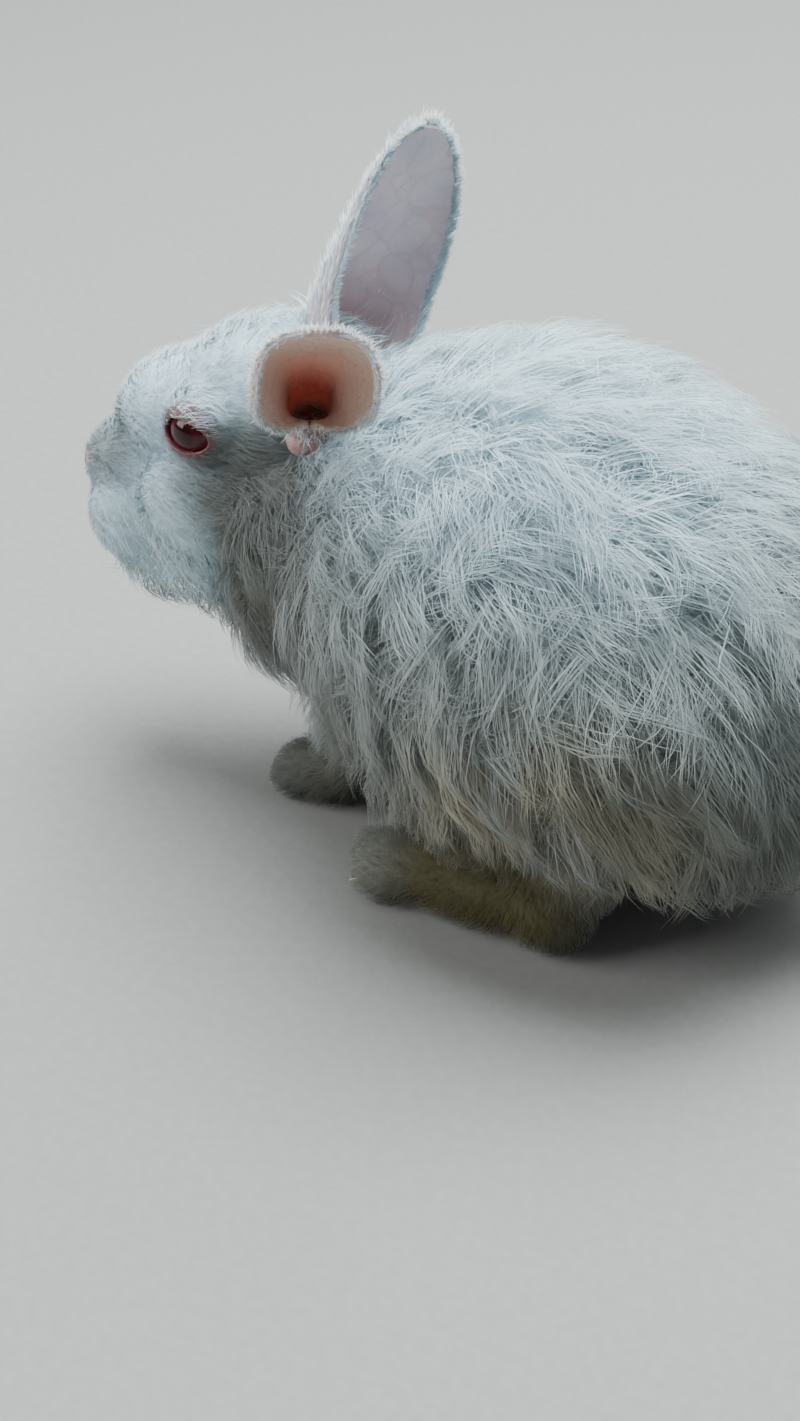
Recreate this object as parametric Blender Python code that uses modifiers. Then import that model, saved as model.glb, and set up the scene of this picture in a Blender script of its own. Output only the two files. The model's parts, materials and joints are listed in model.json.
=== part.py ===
"""A life-size angora rabbit crouching at rest, in parts: head, neck, torso, tail, ears, eyes and legs.

Metres, +Z up, the floor at z = 0. The rabbit faces -X, so its left side faces -Y.
The outer form of each part reaches the tips of its coat. The long wool is made of flat, tapered
locks that overlap along the lie of the coat, each rooted in a smooth core under it.
"""

import math
import random

import bmesh
import bpy
from mathutils import Matrix, Vector
from mathutils.bvhtree import BVHTree

MM = 0.001
GAP = 0.35 * MM  # clearance between parts that touch
FOOTPRINT_CENTRE = (22 * MM, 0 * MM)  # middle of the rabbit's outline seen from above
LEFT, RIGHT = -1, 1
SIDES = {"left": LEFT, "right": RIGHT}

# The body's outer form at the wool tips: x, height of the middle, half width, half height
BODY_SECTIONS = [
    (-40 * MM, 88 * MM, 0 * MM, 0 * MM),
    (-37 * MM, 88 * MM, 26 * MM, 28 * MM),
    (-27 * MM, 86 * MM, 46 * MM, 49 * MM),
    (-8 * MM, 83 * MM, 61 * MM, 62 * MM),
    (22 * MM, 80 * MM, 71 * MM, 69 * MM),
    (50 * MM, 76 * MM, 76 * MM, 69 * MM),
    (78 * MM, 69 * MM, 74 * MM, 63 * MM),
    (102 * MM, 61 * MM, 63 * MM, 55 * MM),
    (122 * MM, 54 * MM, 44 * MM, 43 * MM),
    (134 * MM, 50 * MM, 22 * MM, 26 * MM),
    (139 * MM, 48 * MM, 0 * MM, 0 * MM),
]
BODY_CENTRE = Vector((50 * MM, 0, 77 * MM))
BODY_HALF = Vector((90 * MM, 77 * MM, 70 * MM))
CORE_INSET = 13 * MM  # wool between the core and the lock tips
BELLY_HEIGHT = 5 * MM  # lowest wool of the belly above the floor
CORE_BELLY_HEIGHT = 15 * MM
BODY_RING = 22  # points round a body section
BODY_STEPS = 13  # sections along the body core

# The wool locks of the body: size as length, width and thickness
BODY_LOCK = (60 * MM, 36 * MM, 10 * MM)
LOCK_ROW_STEP = 30 * MM
LOCK_ARC_STEP = 30 * MM
LOCK_STATIONS = (0.0, 0.42, 0.78)
LOCK_TAPER = (0.75, 1.0, 0.68)
LOCK_RISE = 0.65
LOCK_SUNK = 5 * MM
TIP_LIFT = CORE_INSET + 2 * MM  # the flat locks cut across the round of the body
FIRST_LOCK_X = -26 * MM
LAST_LOCK_X = 126 * MM
LOWEST_ROOT = math.radians(136)  # from the spine, round to the belly
BODY_SEED = 9

# The head, in its own frame: x back from the nose tip, y to the right, z up
NOSE_TIP = Vector((-105 * MM, -16 * MM, 88.5 * MM))
HEAD_YAW = math.radians(12.6)
HEAD_PITCH = math.radians(-12.4)
HEAD_FRAME = (
    Matrix.Translation(NOSE_TIP)
    @ Matrix.Rotation(HEAD_YAW, 4, "Z")
    @ Matrix.Rotation(HEAD_PITCH, 4, "Y")
)
EYE_RADIUS = 8.2 * MM
EYE_CENTRE = Vector((48 * MM, 17.6 * MM, 15 * MM))
EYE_LOOK = Vector((-0.22, 1.0, 0.12)).normalized()
LID_THICKNESS = 1.5 * MM
EYE_OPENING = (7.2 * MM, 6.4 * MM)  # half width and half height between the lids
HEAD_COAT = 8 * MM
HEAD_ROOM = HEAD_COAT + 1 * MM  # kept free round the head's bare form
HEAD_LOCK = (25 * MM, 18 * MM, 5 * MM)
HEAD_CROWN = (Vector((56, 0, 6)) * MM, (34 * MM, 25 * MM, 29 * MM))
CROWN_ROWS = [(35, (-165, 165)), (52, (-150, 180, 150)), (74, (-100, 35, 140))]
CROWN_LIE = Vector((1, 0, 0.3))
HEAD_CHEEKS = (Vector((40, 0, -16)) * MM, (27 * MM, 24 * MM, 26 * MM))
CHEEK_ROWS = [
    (-5, (-75, 75)),
    (-32, (-120, -70, 70, 120)),
    (-58, (-150, -70, 70, 150)),
]
CHEEK_LIE = Vector((1, 0, -0.7))
HEAD_SEED = 5

# The ears: length, half width at each share of the length, and how far the cup closes there
EAR_THICKNESS = 2.0 * MM
EAR_LENGTHS = {"left": 74 * MM, "right": 75 * MM}
# Share of the length, radius of the cup, angle from its back to each margin
EAR_PROFILES = {
    "left": [
        (0.0, 5.2 * MM, 165),
        (0.1, 5.4 * MM, 165),
        (0.2, 6.4 * MM, 160),
        (0.3, 9.0 * MM, 142),
        (0.42, 12.0 * MM, 122),
        (0.55, 13.6 * MM, 112),
        (0.68, 14.2 * MM, 106),
        (0.8, 14.2 * MM, 96),
        (0.9, 13.9 * MM, 76),
        (0.96, 13.4 * MM, 50),
        (1.0, 12.8 * MM, 14),
    ],
    "right": [
        (0.0, 7.5 * MM, 150),
        (0.12, 11.0 * MM, 128),
        (0.25, 14.5 * MM, 106),
        (0.4, 16.5 * MM, 88),
        (0.55, 17.0 * MM, 76),
        (0.7, 17.0 * MM, 64),
        (0.82, 16.6 * MM, 52),
        (0.91, 16.0 * MM, 39),
        (0.97, 15.5 * MM, 24),
        (1.0, 15.0 * MM, 8),
    ],
}
EAR_SQUARENESS = 3  # 2 is a round cup, more is a flatter back with fuller corners
EAR_ACROSS = 11  # columns across the ear
EAR_ROOTS = {
    "left": HEAD_FRAME @ (Vector((79, -18, 10)) * MM),
    "right": HEAD_FRAME @ (Vector((75, 12.5, 17)) * MM),
}
EAR_AXES = {"left": Vector((0.515, -0.722, 0.487)), "right": Vector((0.455, 0.10, 0.93))}
EAR_OPENINGS = {"left": Vector((0.306, -0.53, -0.791)), "right": Vector((0.88, -0.47, -0.2))}
EAR_LIFTS = {"left": Vector((-2.5, 3.5, 16.5)) * MM, "right": Vector((0, 0, 0))}  # bend at the root

# The neck, hind legs, fore legs and tail, in the body's frame; y is given for the right side
NECK_CENTRE = Vector((-34 * MM, -3 * MM, 78 * MM))
NECK_RADII = Vector((31 * MM, 37 * MM, 48 * MM))
NECK_COAT = 9 * MM
NECK_LOCK = (36 * MM, 28 * MM, 8 * MM)
NECK_ROWS = [
    (22, (-75, 75)),
    (0, (-50, -92, -140, 50, 92, 140)),
    (-28, (-160, -112, -70, 70, 112, 160)),
    (-52, (-130, 180, 130)),
]
NECK_LIE = Vector((0.8, 0, -0.7))
NECK_SEED = 12
HAUNCH_CENTRE = Vector((46 * MM, 36 * MM, 43 * MM))
HAUNCH_RADII = Vector((40 * MM, 24 * MM, 35 * MM))
HAUNCH_COAT = 7 * MM
HAUNCH_LOCK = (25 * MM, 24 * MM, 6.5 * MM)
HAUNCH_ROWS = [(26, (60, 105)), (2, (40, 82, 125))]
HAUNCH_LIE = Vector((0.35, 0.25, -1))
HAUNCH_SEEDS = {"left": 8, "right": 21}
HIND_FOOT_Y = 46 * MM
HEEL_X = 70 * MM
TOE_X = 4 * MM
FOOT_HALF_WIDTH = 12 * MM
FORE_PAW = Vector((-24 * MM, 21 * MM, 9 * MM))
TAIL_CENTRE = Vector((131 * MM, 0, 46 * MM))
TAIL_RADII = Vector((14 * MM, 14 * MM, 19 * MM))
TAIL_COAT = 8 * MM
TAIL_LOCK = (22 * MM, 15 * MM, 5 * MM)
TAIL_ROWS = [(25, (-50, 50)), (-5, (-75, 0, 75)), (-35, (-45, 45))]
TAIL_LIE = Vector((0.2, 0, 1))
TAIL_SEED = 12


def clear_scene():
    for obj in list(bpy.data.objects):
        bpy.data.objects.remove(obj)


def new_collection(name):
    made = bpy.data.collections.new(name)
    bpy.context.scene.collection.children.link(made)
    return made


def material(name, colour, roughness):
    made = bpy.data.materials.new(name)
    made.use_nodes = True
    shader = made.node_tree.nodes["Principled BSDF"]
    shader.inputs["Base Color"].default_value = (*colour, 1)
    shader.inputs["Roughness"].default_value = roughness
    shader.inputs["Metallic"].default_value = 0
    return made


def mesh_object(name, points, faces, collection):
    mesh = bpy.data.meshes.new(name)
    mesh.from_pydata([tuple(p) for p in points], [], faces)
    fixed = bmesh.new()
    fixed.from_mesh(mesh)
    bmesh.ops.recalc_face_normals(fixed, faces=fixed.faces)
    fixed.to_mesh(mesh)
    fixed.free()
    obj = bpy.data.objects.new(name, mesh)
    collection.objects.link(obj)
    return obj


def ellipsoid(name, centre, radii, collection, frame=None, turn=None, segments=24):
    """A closed ellipsoid, its mesh in the body's frame."""
    ball = bmesh.new()
    bmesh.ops.create_uvsphere(ball, u_segments=segments, v_segments=segments // 2, radius=1)
    place = Matrix.Translation(centre) @ (turn or Matrix.Identity(4)) @ Matrix.Diagonal((*radii, 1))
    ball.transform((frame or Matrix.Identity(4)) @ place)
    mesh = bpy.data.meshes.new(name)
    ball.to_mesh(mesh)
    ball.free()
    obj = bpy.data.objects.new(name, mesh)
    collection.objects.link(obj)
    return obj


def bake(obj):
    """The object's evaluated mesh becomes its mesh, and its modifiers go."""
    bpy.context.view_layer.update()
    graph = bpy.context.evaluated_depsgraph_get()
    mesh = bpy.data.meshes.new_from_object(obj.evaluated_get(graph))
    obj.modifiers.clear()
    obj.data = mesh
    return obj


def discard(objects):
    for obj in list(objects):
        bpy.data.objects.remove(obj)


def fuse(name, blobs, collection, voxel, smoothing, triangles):
    """Melts overlapping closed blobs into one smooth closed form of about that many triangles."""
    whole = bmesh.new()
    for blob in blobs:
        whole.from_mesh(blob.data)
    mesh = bpy.data.meshes.new(name)
    whole.to_mesh(mesh)
    whole.free()
    discard(blobs)
    obj = bpy.data.objects.new(name, mesh)
    collection.objects.link(obj)
    remesh = obj.modifiers.new("remesh", "REMESH")
    remesh.mode = "VOXEL"
    remesh.voxel_size = voxel
    smooth = obj.modifiers.new("smooth", "SMOOTH")
    smooth.factor = 0.5
    smooth.iterations = smoothing
    bake(obj)
    obj.data.calc_loop_triangles()
    thin = obj.modifiers.new("thin", "DECIMATE")
    thin.ratio = min(1.0, triangles / len(obj.data.loop_triangles))
    return bake(obj)


def grown(obj, by, collection):
    """A copy of a smooth closed form, larger by that much all round."""
    copy = bpy.data.objects.new(obj.name + "_grown", obj.data.copy())
    collection.objects.link(copy)
    swell = copy.modifiers.new("swell", "DISPLACE")
    swell.mid_level = 0
    swell.strength = by
    return bake(copy)


def combine(obj, others, operation):
    """Joins the others to the object, or cuts them from it, in one Boolean, and removes them.

    The crossing locks leave flawed edges with the exact solver, so this uses the manifold one.
    """
    tools = bpy.data.collections.new("tools")
    bpy.context.scene.collection.children.link(tools)
    for other in others:
        for home in list(other.users_collection):
            home.objects.unlink(other)
        tools.objects.link(other)
    boolean = obj.modifiers.new("combine", "BOOLEAN")
    boolean.operation = operation
    boolean.operand_type = "COLLECTION"
    boolean.collection = tools
    boolean.solver = "MANIFOLD"
    bake(obj)
    discard(tools.objects)
    bpy.data.collections.remove(tools)
    return obj


def copy_of(obj, collection):
    copy = bpy.data.objects.new(obj.name + "_copy", obj.data.copy())
    collection.objects.link(copy)
    return copy


def join_locks(locks, rooms):
    """The locks as one mesh, cut back to leave the rooms of the other parts free."""
    wool = locks[0]
    combine(wool, locks[1:], "UNION")
    return combine(wool, rooms, "DIFFERENCE")


def keep_largest(obj):
    """Keeps the largest closed surface of the mesh."""
    mesh = bmesh.new()
    mesh.from_mesh(obj.data)
    waiting, islands = set(mesh.faces), []
    while waiting:
        island, edge_of_search = set(), [waiting.pop()]
        while edge_of_search:
            face = edge_of_search.pop()
            island.add(face)
            for edge in face.edges:
                for other in edge.link_faces:
                    if other in waiting:
                        waiting.remove(other)
                        edge_of_search.append(other)
        islands.append(island)
    largest = max(islands, key=lambda faces: sum(f.calc_area() for f in faces))
    scraps = [f for island in islands if island is not largest for f in island]
    bmesh.ops.delete(mesh, geom=scraps, context="FACES")
    bmesh.ops.triangulate(mesh, faces=mesh.faces)
    mesh.to_mesh(obj.data)
    mesh.free()
    return obj


def between(rows, x):
    """The row of values at x, on a smooth curve through the given rows."""
    for i in range(len(rows) - 1):
        if x <= rows[i + 1][0] or i == len(rows) - 2:
            break
    before, here = rows[max(i - 1, 0)], rows[i]
    after, beyond = rows[i + 1], rows[min(i + 2, len(rows) - 1)]
    u = (x - here[0]) / (after[0] - here[0])
    u = min(max(u, 0.0), 1.0)
    values = []
    for k in range(1, len(here)):
        into = (after[k] - before[k]) / (after[0] - before[0]) * (after[0] - here[0])
        out = (beyond[k] - here[k]) / (beyond[0] - here[0]) * (after[0] - here[0])
        if before is here:
            into = after[k] - here[k]
        if beyond is after:
            out = after[k] - here[k]
        a = 2 * here[k] - 2 * after[k] + into + out
        b = -3 * here[k] + 3 * after[k] - 2 * into - out
        values.append(((a * u + b) * u + into) * u + here[k])
    return values


def body_point(x, angle, inset, lowest=BELLY_HEIGHT):
    """A point of the body's form, that far inside the wool tips.

    Angle 0 is the spine, and it grows to the right.
    """
    middle, half_width, half_height = between(BODY_SECTIONS, x)
    outer = Vector(
        (x, half_width * math.sin(angle), middle + half_height * math.cos(angle))
    )
    share = Vector([1 - inset / half for half in BODY_HALF])
    point = BODY_CENTRE + (outer - BODY_CENTRE) * share
    point.z = max(point.z, lowest)
    return point


def body_form(name, inset, collection, lowest, ring=BODY_RING, steps=BODY_STEPS):
    """The body as a closed loft of rings between two end points."""
    first, last = BODY_SECTIONS[0][0], BODY_SECTIONS[-1][0]
    points = [body_point(first, 0, inset, lowest)]
    faces = []
    for i in range(steps):
        u = 0.5 - 0.5 * math.cos(math.pi * (i + 0.7) / (steps + 0.4))
        x = first + (last - first) * u
        for k in range(ring):
            angle = 2 * math.pi * (k + 0.5) / ring
            points.append(body_point(x, angle, inset, lowest))
    points.append(body_point(last, 0, inset, lowest))
    for k in range(ring):
        after = (k + 1) % ring
        faces.append((0, 1 + after, 1 + k))
        for i in range(steps - 1):
            a = 1 + i * ring
            b = a + ring
            faces.append((a + k, a + after, b + after))
            faces.append((a + k, b + after, b + k))
        a = 1 + (steps - 1) * ring
        faces.append((a + k, a + after, len(points) - 1))
    return mesh_object(name, points, faces, collection)


def lock(name, path, width, thickness, out, collection):
    """A flat, tapered lock of wool along the path, whose last point is its tip.

    Out is the way its flat face looks.
    """
    points, faces = [], []
    for i, share in enumerate(LOCK_TAPER):
        ahead = (path[i + 1] - path[max(i - 1, 0)]).normalized()
        across = ahead.cross(out[i]).normalized()
        up = across.cross(ahead).normalized()
        half = width * share / 2
        points += [
            path[i] - across * half,
            path[i] + up * thickness * share * 0.55,
            path[i] + across * half,
            path[i] - up * thickness * share * 0.45,
        ]
    points.append(path[-1])
    for i in range(len(LOCK_TAPER) - 1):
        for k in range(4):
            a, b = 4 * i + k, 4 * i + (k + 1) % 4
            faces.append((a, b, b + 4))
            faces.append((a, b + 4, a + 4))
    last = 4 * (len(LOCK_TAPER) - 1)
    for k in range(4):
        faces.append((last + k, last + (k + 1) % 4, len(points) - 1))
    faces.append((0, 3, 2))
    faces.append((0, 2, 1))
    return mesh_object(name, points, faces, collection)


def surface_of(obj):
    return BVHTree.FromObject(obj, bpy.context.evaluated_depsgraph_get())


def grow_lock(name, surface, root, lie, size, sunk, lift, collection):
    """One lock, rooted that deep below the surface, that follows the lie of the coat and lifts to its tip."""
    length, width, thickness = size
    place, normal = surface.find_nearest(root)[:2]
    path, out, walked = [], [], 0
    for share in (*LOCK_STATIONS, 1):
        way = lie(place)
        way = (way - normal * way.dot(normal)).normalized()
        step = place + way * length * (share - walked)
        place, normal = surface.find_nearest(step)[:2]
        walked = share
        path.append(place + normal * ((sunk + lift) * share**LOCK_RISE - sunk))
        out.append(normal)
    return lock(name, path, width, thickness, out, collection)


def grow_locks(surface, roots, lie, size, sunk, lift, draw, collection):
    """A lock at each root, each a little different in length, width, lift and lie."""
    locks = []
    for i, root in enumerate(roots):
        turn = Matrix.Rotation(math.radians(draw.uniform(-9, 9)), 3, surface.find_nearest(root)[1])
        length = size[0] * draw.uniform(0.88, 1.1)
        width = size[1] * draw.uniform(0.9, 1.1)
        rise = lift - draw.uniform(0, 1.5) * MM
        own = (length, width, size[2])
        locks.append(
            grow_lock(f"lock_{i}", surface, root, lambda p: turn @ lie(p), own, sunk, rise, collection)
        )
    return locks


def round_roots(centre, radii, rows):
    """Places on an ellipsoid. Each row is a height angle and the angles of its roots round the Z axis."""
    roots = []
    for height, turns in rows:
        level = math.cos(math.radians(height))
        for degrees in turns:
            turn = math.radians(degrees)
            way = (math.cos(turn) * level, math.sin(turn) * level, math.sin(math.radians(height)))
            roots.append(centre + Vector([way[a] * radii[a] for a in range(3)]))
    return roots


def body_roots():
    """Rows of roots round the body, each row half a lock round from the row before."""
    roots = []
    rows = round((LAST_LOCK_X - FIRST_LOCK_X) / LOCK_ROW_STEP)
    for i in range(rows + 1):
        x = FIRST_LOCK_X + (LAST_LOCK_X - FIRST_LOCK_X) * i / rows
        _, half_width, half_height = between(BODY_SECTIONS, x)
        count = max(5, round(math.pi * (half_width + half_height) / LOCK_ARC_STEP))
        for k in range(count):
            angle = 2 * math.pi * (k + 0.5 * (i % 2)) / count
            if math.cos(angle) > math.cos(LOWEST_ROOT):
                roots.append(body_point(x, angle, CORE_INSET))
    return roots


def body_lie(place):
    """The lie of the body's wool: back along the spine, down and back on the flanks, down on the rump."""
    side = max(-1, min(1, place.y / BODY_HALF.y * 1.6))
    rump = max(0, min(1, (place.x - 85 * MM) / (50 * MM)))
    down = abs(side) + rump
    return Vector((1.0 - 0.45 * abs(side), 0.25 * side, 0)) + Vector((0, 0, -1.15)) * down


def eye(side, collection):
    centre = Vector((EYE_CENTRE.x, EYE_CENTRE.y * SIDES[side], EYE_CENTRE.z))
    return ellipsoid(f"eye_{side}", centre, [EYE_RADIUS] * 3, collection, HEAD_FRAME, segments=16)


def head_blobs(collection):
    """The skull, muzzle and wool of the face as overlapping rounds, in the head's frame."""
    rounds = [
        ((60, 0, 8), (34, 25, 28)),
        ((38, 0, 13), (24, 18, 17)),
        ((80, 0, 6), (18, 20, 22)),
        ((22, 0, -3), (22, 15.5, 16)),
        ((6, 0, -1.5), (7.5, 7.5, 7)),
        ((22, 0, -34), (20, 15, 13)),
        ((42, 0, -34), (26, 20, 18)),
    ]
    for side in SIDES.values():
        rounds.append(((15, 9 * side, -20), (16, 11, 18)))
        rounds.append(((47, 12 * side, -13), (27, 16, 23)))
        rounds.append(((50, 10 * side, 14), (17, 13, 13)))
    return [
        ellipsoid(f"head_round_{i}", Vector(c) * MM, [r * MM for r in radii], collection, HEAD_FRAME)
        for i, (c, radii) in enumerate(rounds)
    ]


def surface_tube(name, surface, targets, start, radius, collection):
    """A thin tube along the surface, through where rays from start to the targets leave it."""
    curve = bpy.data.curves.new(name, "CURVE")
    curve.dimensions = "3D"
    curve.bevel_depth = radius
    curve.bevel_resolution = 1
    curve.use_fill_caps = True
    spline = curve.splines.new("POLY")
    spline.points.add(len(targets) - 1)
    for i, target in enumerate(targets):
        way = (HEAD_FRAME.to_3x3() @ (Vector(target) * MM - start)).normalized()
        far = HEAD_FRAME @ start + way * 100 * MM
        hit = surface.ray_cast(far, -way)[0]
        spline.points[i].co = (*hit, 1)
    tube = bpy.data.objects.new(name, curve)
    collection.objects.link(tube)
    return solid_curve(tube, collection)


def solid_curve(tube, collection):
    """The curve object made a closed mesh object of the same name."""
    bpy.context.view_layer.update()
    graph = bpy.context.evaluated_depsgraph_get()
    mesh = bpy.data.meshes.new_from_object(tube.evaluated_get(graph))
    welded = bmesh.new()
    welded.from_mesh(mesh)
    bmesh.ops.remove_doubles(welded, verts=welded.verts, dist=0.01 * MM)
    bmesh.ops.recalc_face_normals(welded, faces=welded.faces)
    welded.to_mesh(mesh)
    welded.free()
    name, place = tube.name, tube.matrix_world.copy()
    bpy.data.objects.remove(tube)
    obj = bpy.data.objects.new(name, mesh)
    obj.matrix_world = place
    collection.objects.link(obj)
    return obj


def build_head(ear_rooms, collection):
    """The head with its lids, nostrils, mouth line and the wool of its crown and cheeks."""
    base = fuse("head", head_blobs(collection), collection, 1.6 * MM, 8, 1100)
    smooth_copy = bpy.data.objects.new("head_form", base.data.copy())
    collection.objects.link(smooth_copy)
    skin = surface_of(base)
    joined, cuts = [], []
    for side, sign in SIDES.items():
        centre = Vector((EYE_CENTRE.x, EYE_CENTRE.y * sign, EYE_CENTRE.z))
        look = Vector((EYE_LOOK.x, EYE_LOOK.y * sign, EYE_LOOK.z))
        lid = [EYE_RADIUS + LID_THICKNESS] * 3
        joined.append(ellipsoid(f"lids_{side}", centre, lid, collection, HEAD_FRAME, segments=16))
        turn = look.to_track_quat("Y", "Z").to_matrix().to_4x4()
        slit = (EYE_OPENING[0], 7 * MM, EYE_OPENING[1])
        cuts.append(
            ellipsoid(f"slit_{side}", centre + look * EYE_RADIUS, slit, collection, HEAD_FRAME, turn, 16)
        )
        socket = [EYE_RADIUS + GAP] * 3
        cuts.append(ellipsoid(f"socket_{side}", centre, socket, collection, HEAD_FRAME, segments=16))
        tilt = Matrix.Rotation(math.radians(35 * sign), 4, "X")
        cuts.append(
            ellipsoid(
                f"nostril_{side}",
                Vector((1.2 * MM, 4.2 * MM * sign, 0.6 * MM)),
                (3.2 * MM, 0.9 * MM, 2.6 * MM),
                collection,
                HEAD_FRAME,
                tilt,
                segments=10,
            )
        )
    mouth = []
    for degrees in range(-80, 81, 16):
        angle = math.radians(degrees)
        mouth.append((24 - 20 * math.cos(angle) ** 2, 15 * math.sin(angle), -14))
    inside = Vector((24 * MM, 0, -10 * MM))
    cuts.append(surface_tube("mouth_line", skin, mouth, inside, 0.9 * MM, collection))
    cleft = [(0, 0, -3), (1, 0, -7), (2, 0, -11), (3, 0, -14)]
    cuts.append(surface_tube("cleft", skin, cleft, Vector((20 * MM, 0, -5 * MM)), 0.8 * MM, collection))
    draw = random.Random(HEAD_SEED)
    turn = HEAD_FRAME.to_3x3()
    crown = round_roots(*HEAD_CROWN, CROWN_ROWS)
    cheeks = round_roots(*HEAD_CHEEKS, CHEEK_ROWS)
    locks = []
    for roots, lie in ((crown, CROWN_LIE), (cheeks, CHEEK_LIE)):
        places = [HEAD_FRAME @ root for root in roots]
        way = turn @ lie
        locks += grow_locks(skin, places, lambda p: way, HEAD_LOCK, 4 * MM, HEAD_COAT, draw, collection)
    joined.append(join_locks(locks, [copy_of(room, collection) for room in ear_rooms]))
    combine(base, joined, "UNION")
    combine(base, cuts, "DIFFERENCE")
    return keep_largest(base), smooth_copy


def ear_points(side, t):
    """The row of points across the ear at that share of its length."""
    root = EAR_ROOTS[side]
    axis = EAR_AXES[side].normalized()
    opening = EAR_OPENINGS[side]
    opening = (opening - axis * opening.dot(axis)).normalized()
    across = axis.cross(opening)
    profile = EAR_PROFILES[side]
    radius, widest = between(profile, t)
    back = root - opening * profile[0][1] + axis * EAR_LENGTHS[side] * t
    centre = back + EAR_LIFTS[side] * (1 - (1 - t) ** 6) + opening * radius
    row = []
    for k in range(EAR_ACROSS):
        angle = math.radians(widest) * (2 * k / (EAR_ACROSS - 1) - 1)
        along, out = math.sin(angle), math.cos(angle)
        power = abs(along) ** EAR_SQUARENESS + abs(out) ** EAR_SQUARENESS
        reach = radius * power ** (-1 / EAR_SQUARENESS)
        row.append(centre + (across * along - opening * out) * reach)
    return row


def ear_shell(name, side, collection):
    """The cup of the ear as an open surface given a thickness."""
    shares = [row[0] for row in EAR_PROFILES[side]]
    points = [p for t in shares for p in ear_points(side, t)]
    faces = []
    for i in range(len(shares) - 1):
        for k in range(EAR_ACROSS - 1):
            a = i * EAR_ACROSS + k
            faces.append((a, a + 1, a + EAR_ACROSS + 1))
            faces.append((a, a + EAR_ACROSS + 1, a + EAR_ACROSS))
    ear = mesh_object(name, points, faces, collection)
    shell = ear.modifiers.new("thickness", "SOLIDIFY")
    shell.thickness = EAR_THICKNESS
    shell.offset = 0
    return bake(ear)


def build_ear(side, head_form, collection):
    """The ear, cut where it meets the head."""
    ear = ear_shell(f"ear_{side}", side, collection)
    return keep_largest(combine(ear, [grown(head_form, GAP, collection)], "DIFFERENCE"))


def hind_leg_blobs(sign, collection, coat=0.0):
    """The haunch, shank and foot of one hind leg as overlapping rounds."""
    haunch = Vector((HAUNCH_CENTRE.x, HAUNCH_CENTRE.y * sign, HAUNCH_CENTRE.z))
    y = HIND_FOOT_Y * sign
    blobs = [ellipsoid("haunch", haunch, [r + coat for r in HAUNCH_RADII], collection)]
    rounds = [
        ((HEEL_X - 8 * MM, y, 11.3 * MM), (14 * MM, 11 * MM, 13 * MM)),
        (((HEEL_X + TOE_X) / 2, y, 10 * MM), (30 * MM, 11.5 * MM, 11.5 * MM)),
        ((TOE_X + 14 * MM, y, 9.2 * MM), (17 * MM, FOOT_HALF_WIDTH, 11 * MM)),
    ]
    for centre, radii in rounds:
        blobs.append(ellipsoid("foot_round", Vector(centre), [r + coat * 0.2 for r in radii], collection))
    for k in range(4):
        toe = Vector((TOE_X + 6 * MM, y + (k - 1.5) * 5.4 * MM, 6 * MM))
        toe.x += abs(k - 1.4) * 2 * MM
        radii = (9 * MM, 3.6 * MM, 6.5 * MM)
        blobs.append(ellipsoid("toe", toe, [r + coat * 0.2 for r in radii], collection))
    return blobs


def fore_leg_blobs(sign, collection):
    """The forearm and paw of one fore leg as overlapping rounds."""
    paw = Vector((FORE_PAW.x, FORE_PAW.y * sign, FORE_PAW.z))
    blobs = [
        ellipsoid("paw", paw, (15 * MM, 10 * MM, 9.5 * MM), collection),
        ellipsoid("wrist", paw + Vector((9, 0, 8)) * MM, (11 * MM, 10 * MM, 14 * MM), collection),
        ellipsoid("forearm", paw + Vector((13, 2 * sign, 26)) * MM, (12 * MM, 11 * MM, 24 * MM), collection),
    ]
    for k in range(4):
        toe = paw + Vector((-11 + abs(k - 1.4) * 2, (k - 1.5) * 4.6, -2)) * MM
        blobs.append(ellipsoid("toe", toe, (7 * MM, 3.1 * MM, 5.6 * MM), collection))
    return blobs


def floor_cutter(collection):
    """A slab below the floor, which flattens the soles."""
    cube = bmesh.new()
    bmesh.ops.create_cube(cube, size=1)
    cube.transform(Matrix.Translation((0, 0, -50 * MM)) @ Matrix.Diagonal((1, 1, 100 * MM, 1)))
    mesh = bpy.data.meshes.new("below_floor")
    cube.to_mesh(mesh)
    cube.free()
    obj = bpy.data.objects.new("below_floor", mesh)
    collection.objects.link(obj)
    return obj


def mirrored(vector, sign):
    return Vector((vector.x, vector.y * sign, vector.z))


def build_hind_leg(side, body_cut, collection):
    """A hind leg with the wool of its haunch, and the room that it takes from the body's wool."""
    sign = SIDES[side]
    leg = fuse(f"hind_leg_{side}", hind_leg_blobs(sign, collection), collection, 1.5 * MM, 5, 560)
    centre = mirrored(HAUNCH_CENTRE, sign)
    rows = [(height, [turn * sign for turn in turns]) for height, turns in HAUNCH_ROWS]
    roots = round_roots(centre, HAUNCH_RADII, rows)
    way = mirrored(HAUNCH_LIE, sign)
    draw = random.Random(HAUNCH_SEEDS[side])
    lift = HAUNCH_COAT - 1 * MM
    locks = grow_locks(surface_of(leg), roots, lambda p: way, HAUNCH_LOCK, 4 * MM, lift, draw, collection)
    combine(leg, locks, "UNION")
    combine(leg, [copy_of(body_cut, collection), floor_cutter(collection)], "DIFFERENCE")
    blobs = hind_leg_blobs(sign, collection, HAUNCH_COAT + GAP)
    room = fuse(f"room_{side}", blobs, collection, 2 * MM, 4, 500)
    return keep_largest(leg), room


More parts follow.
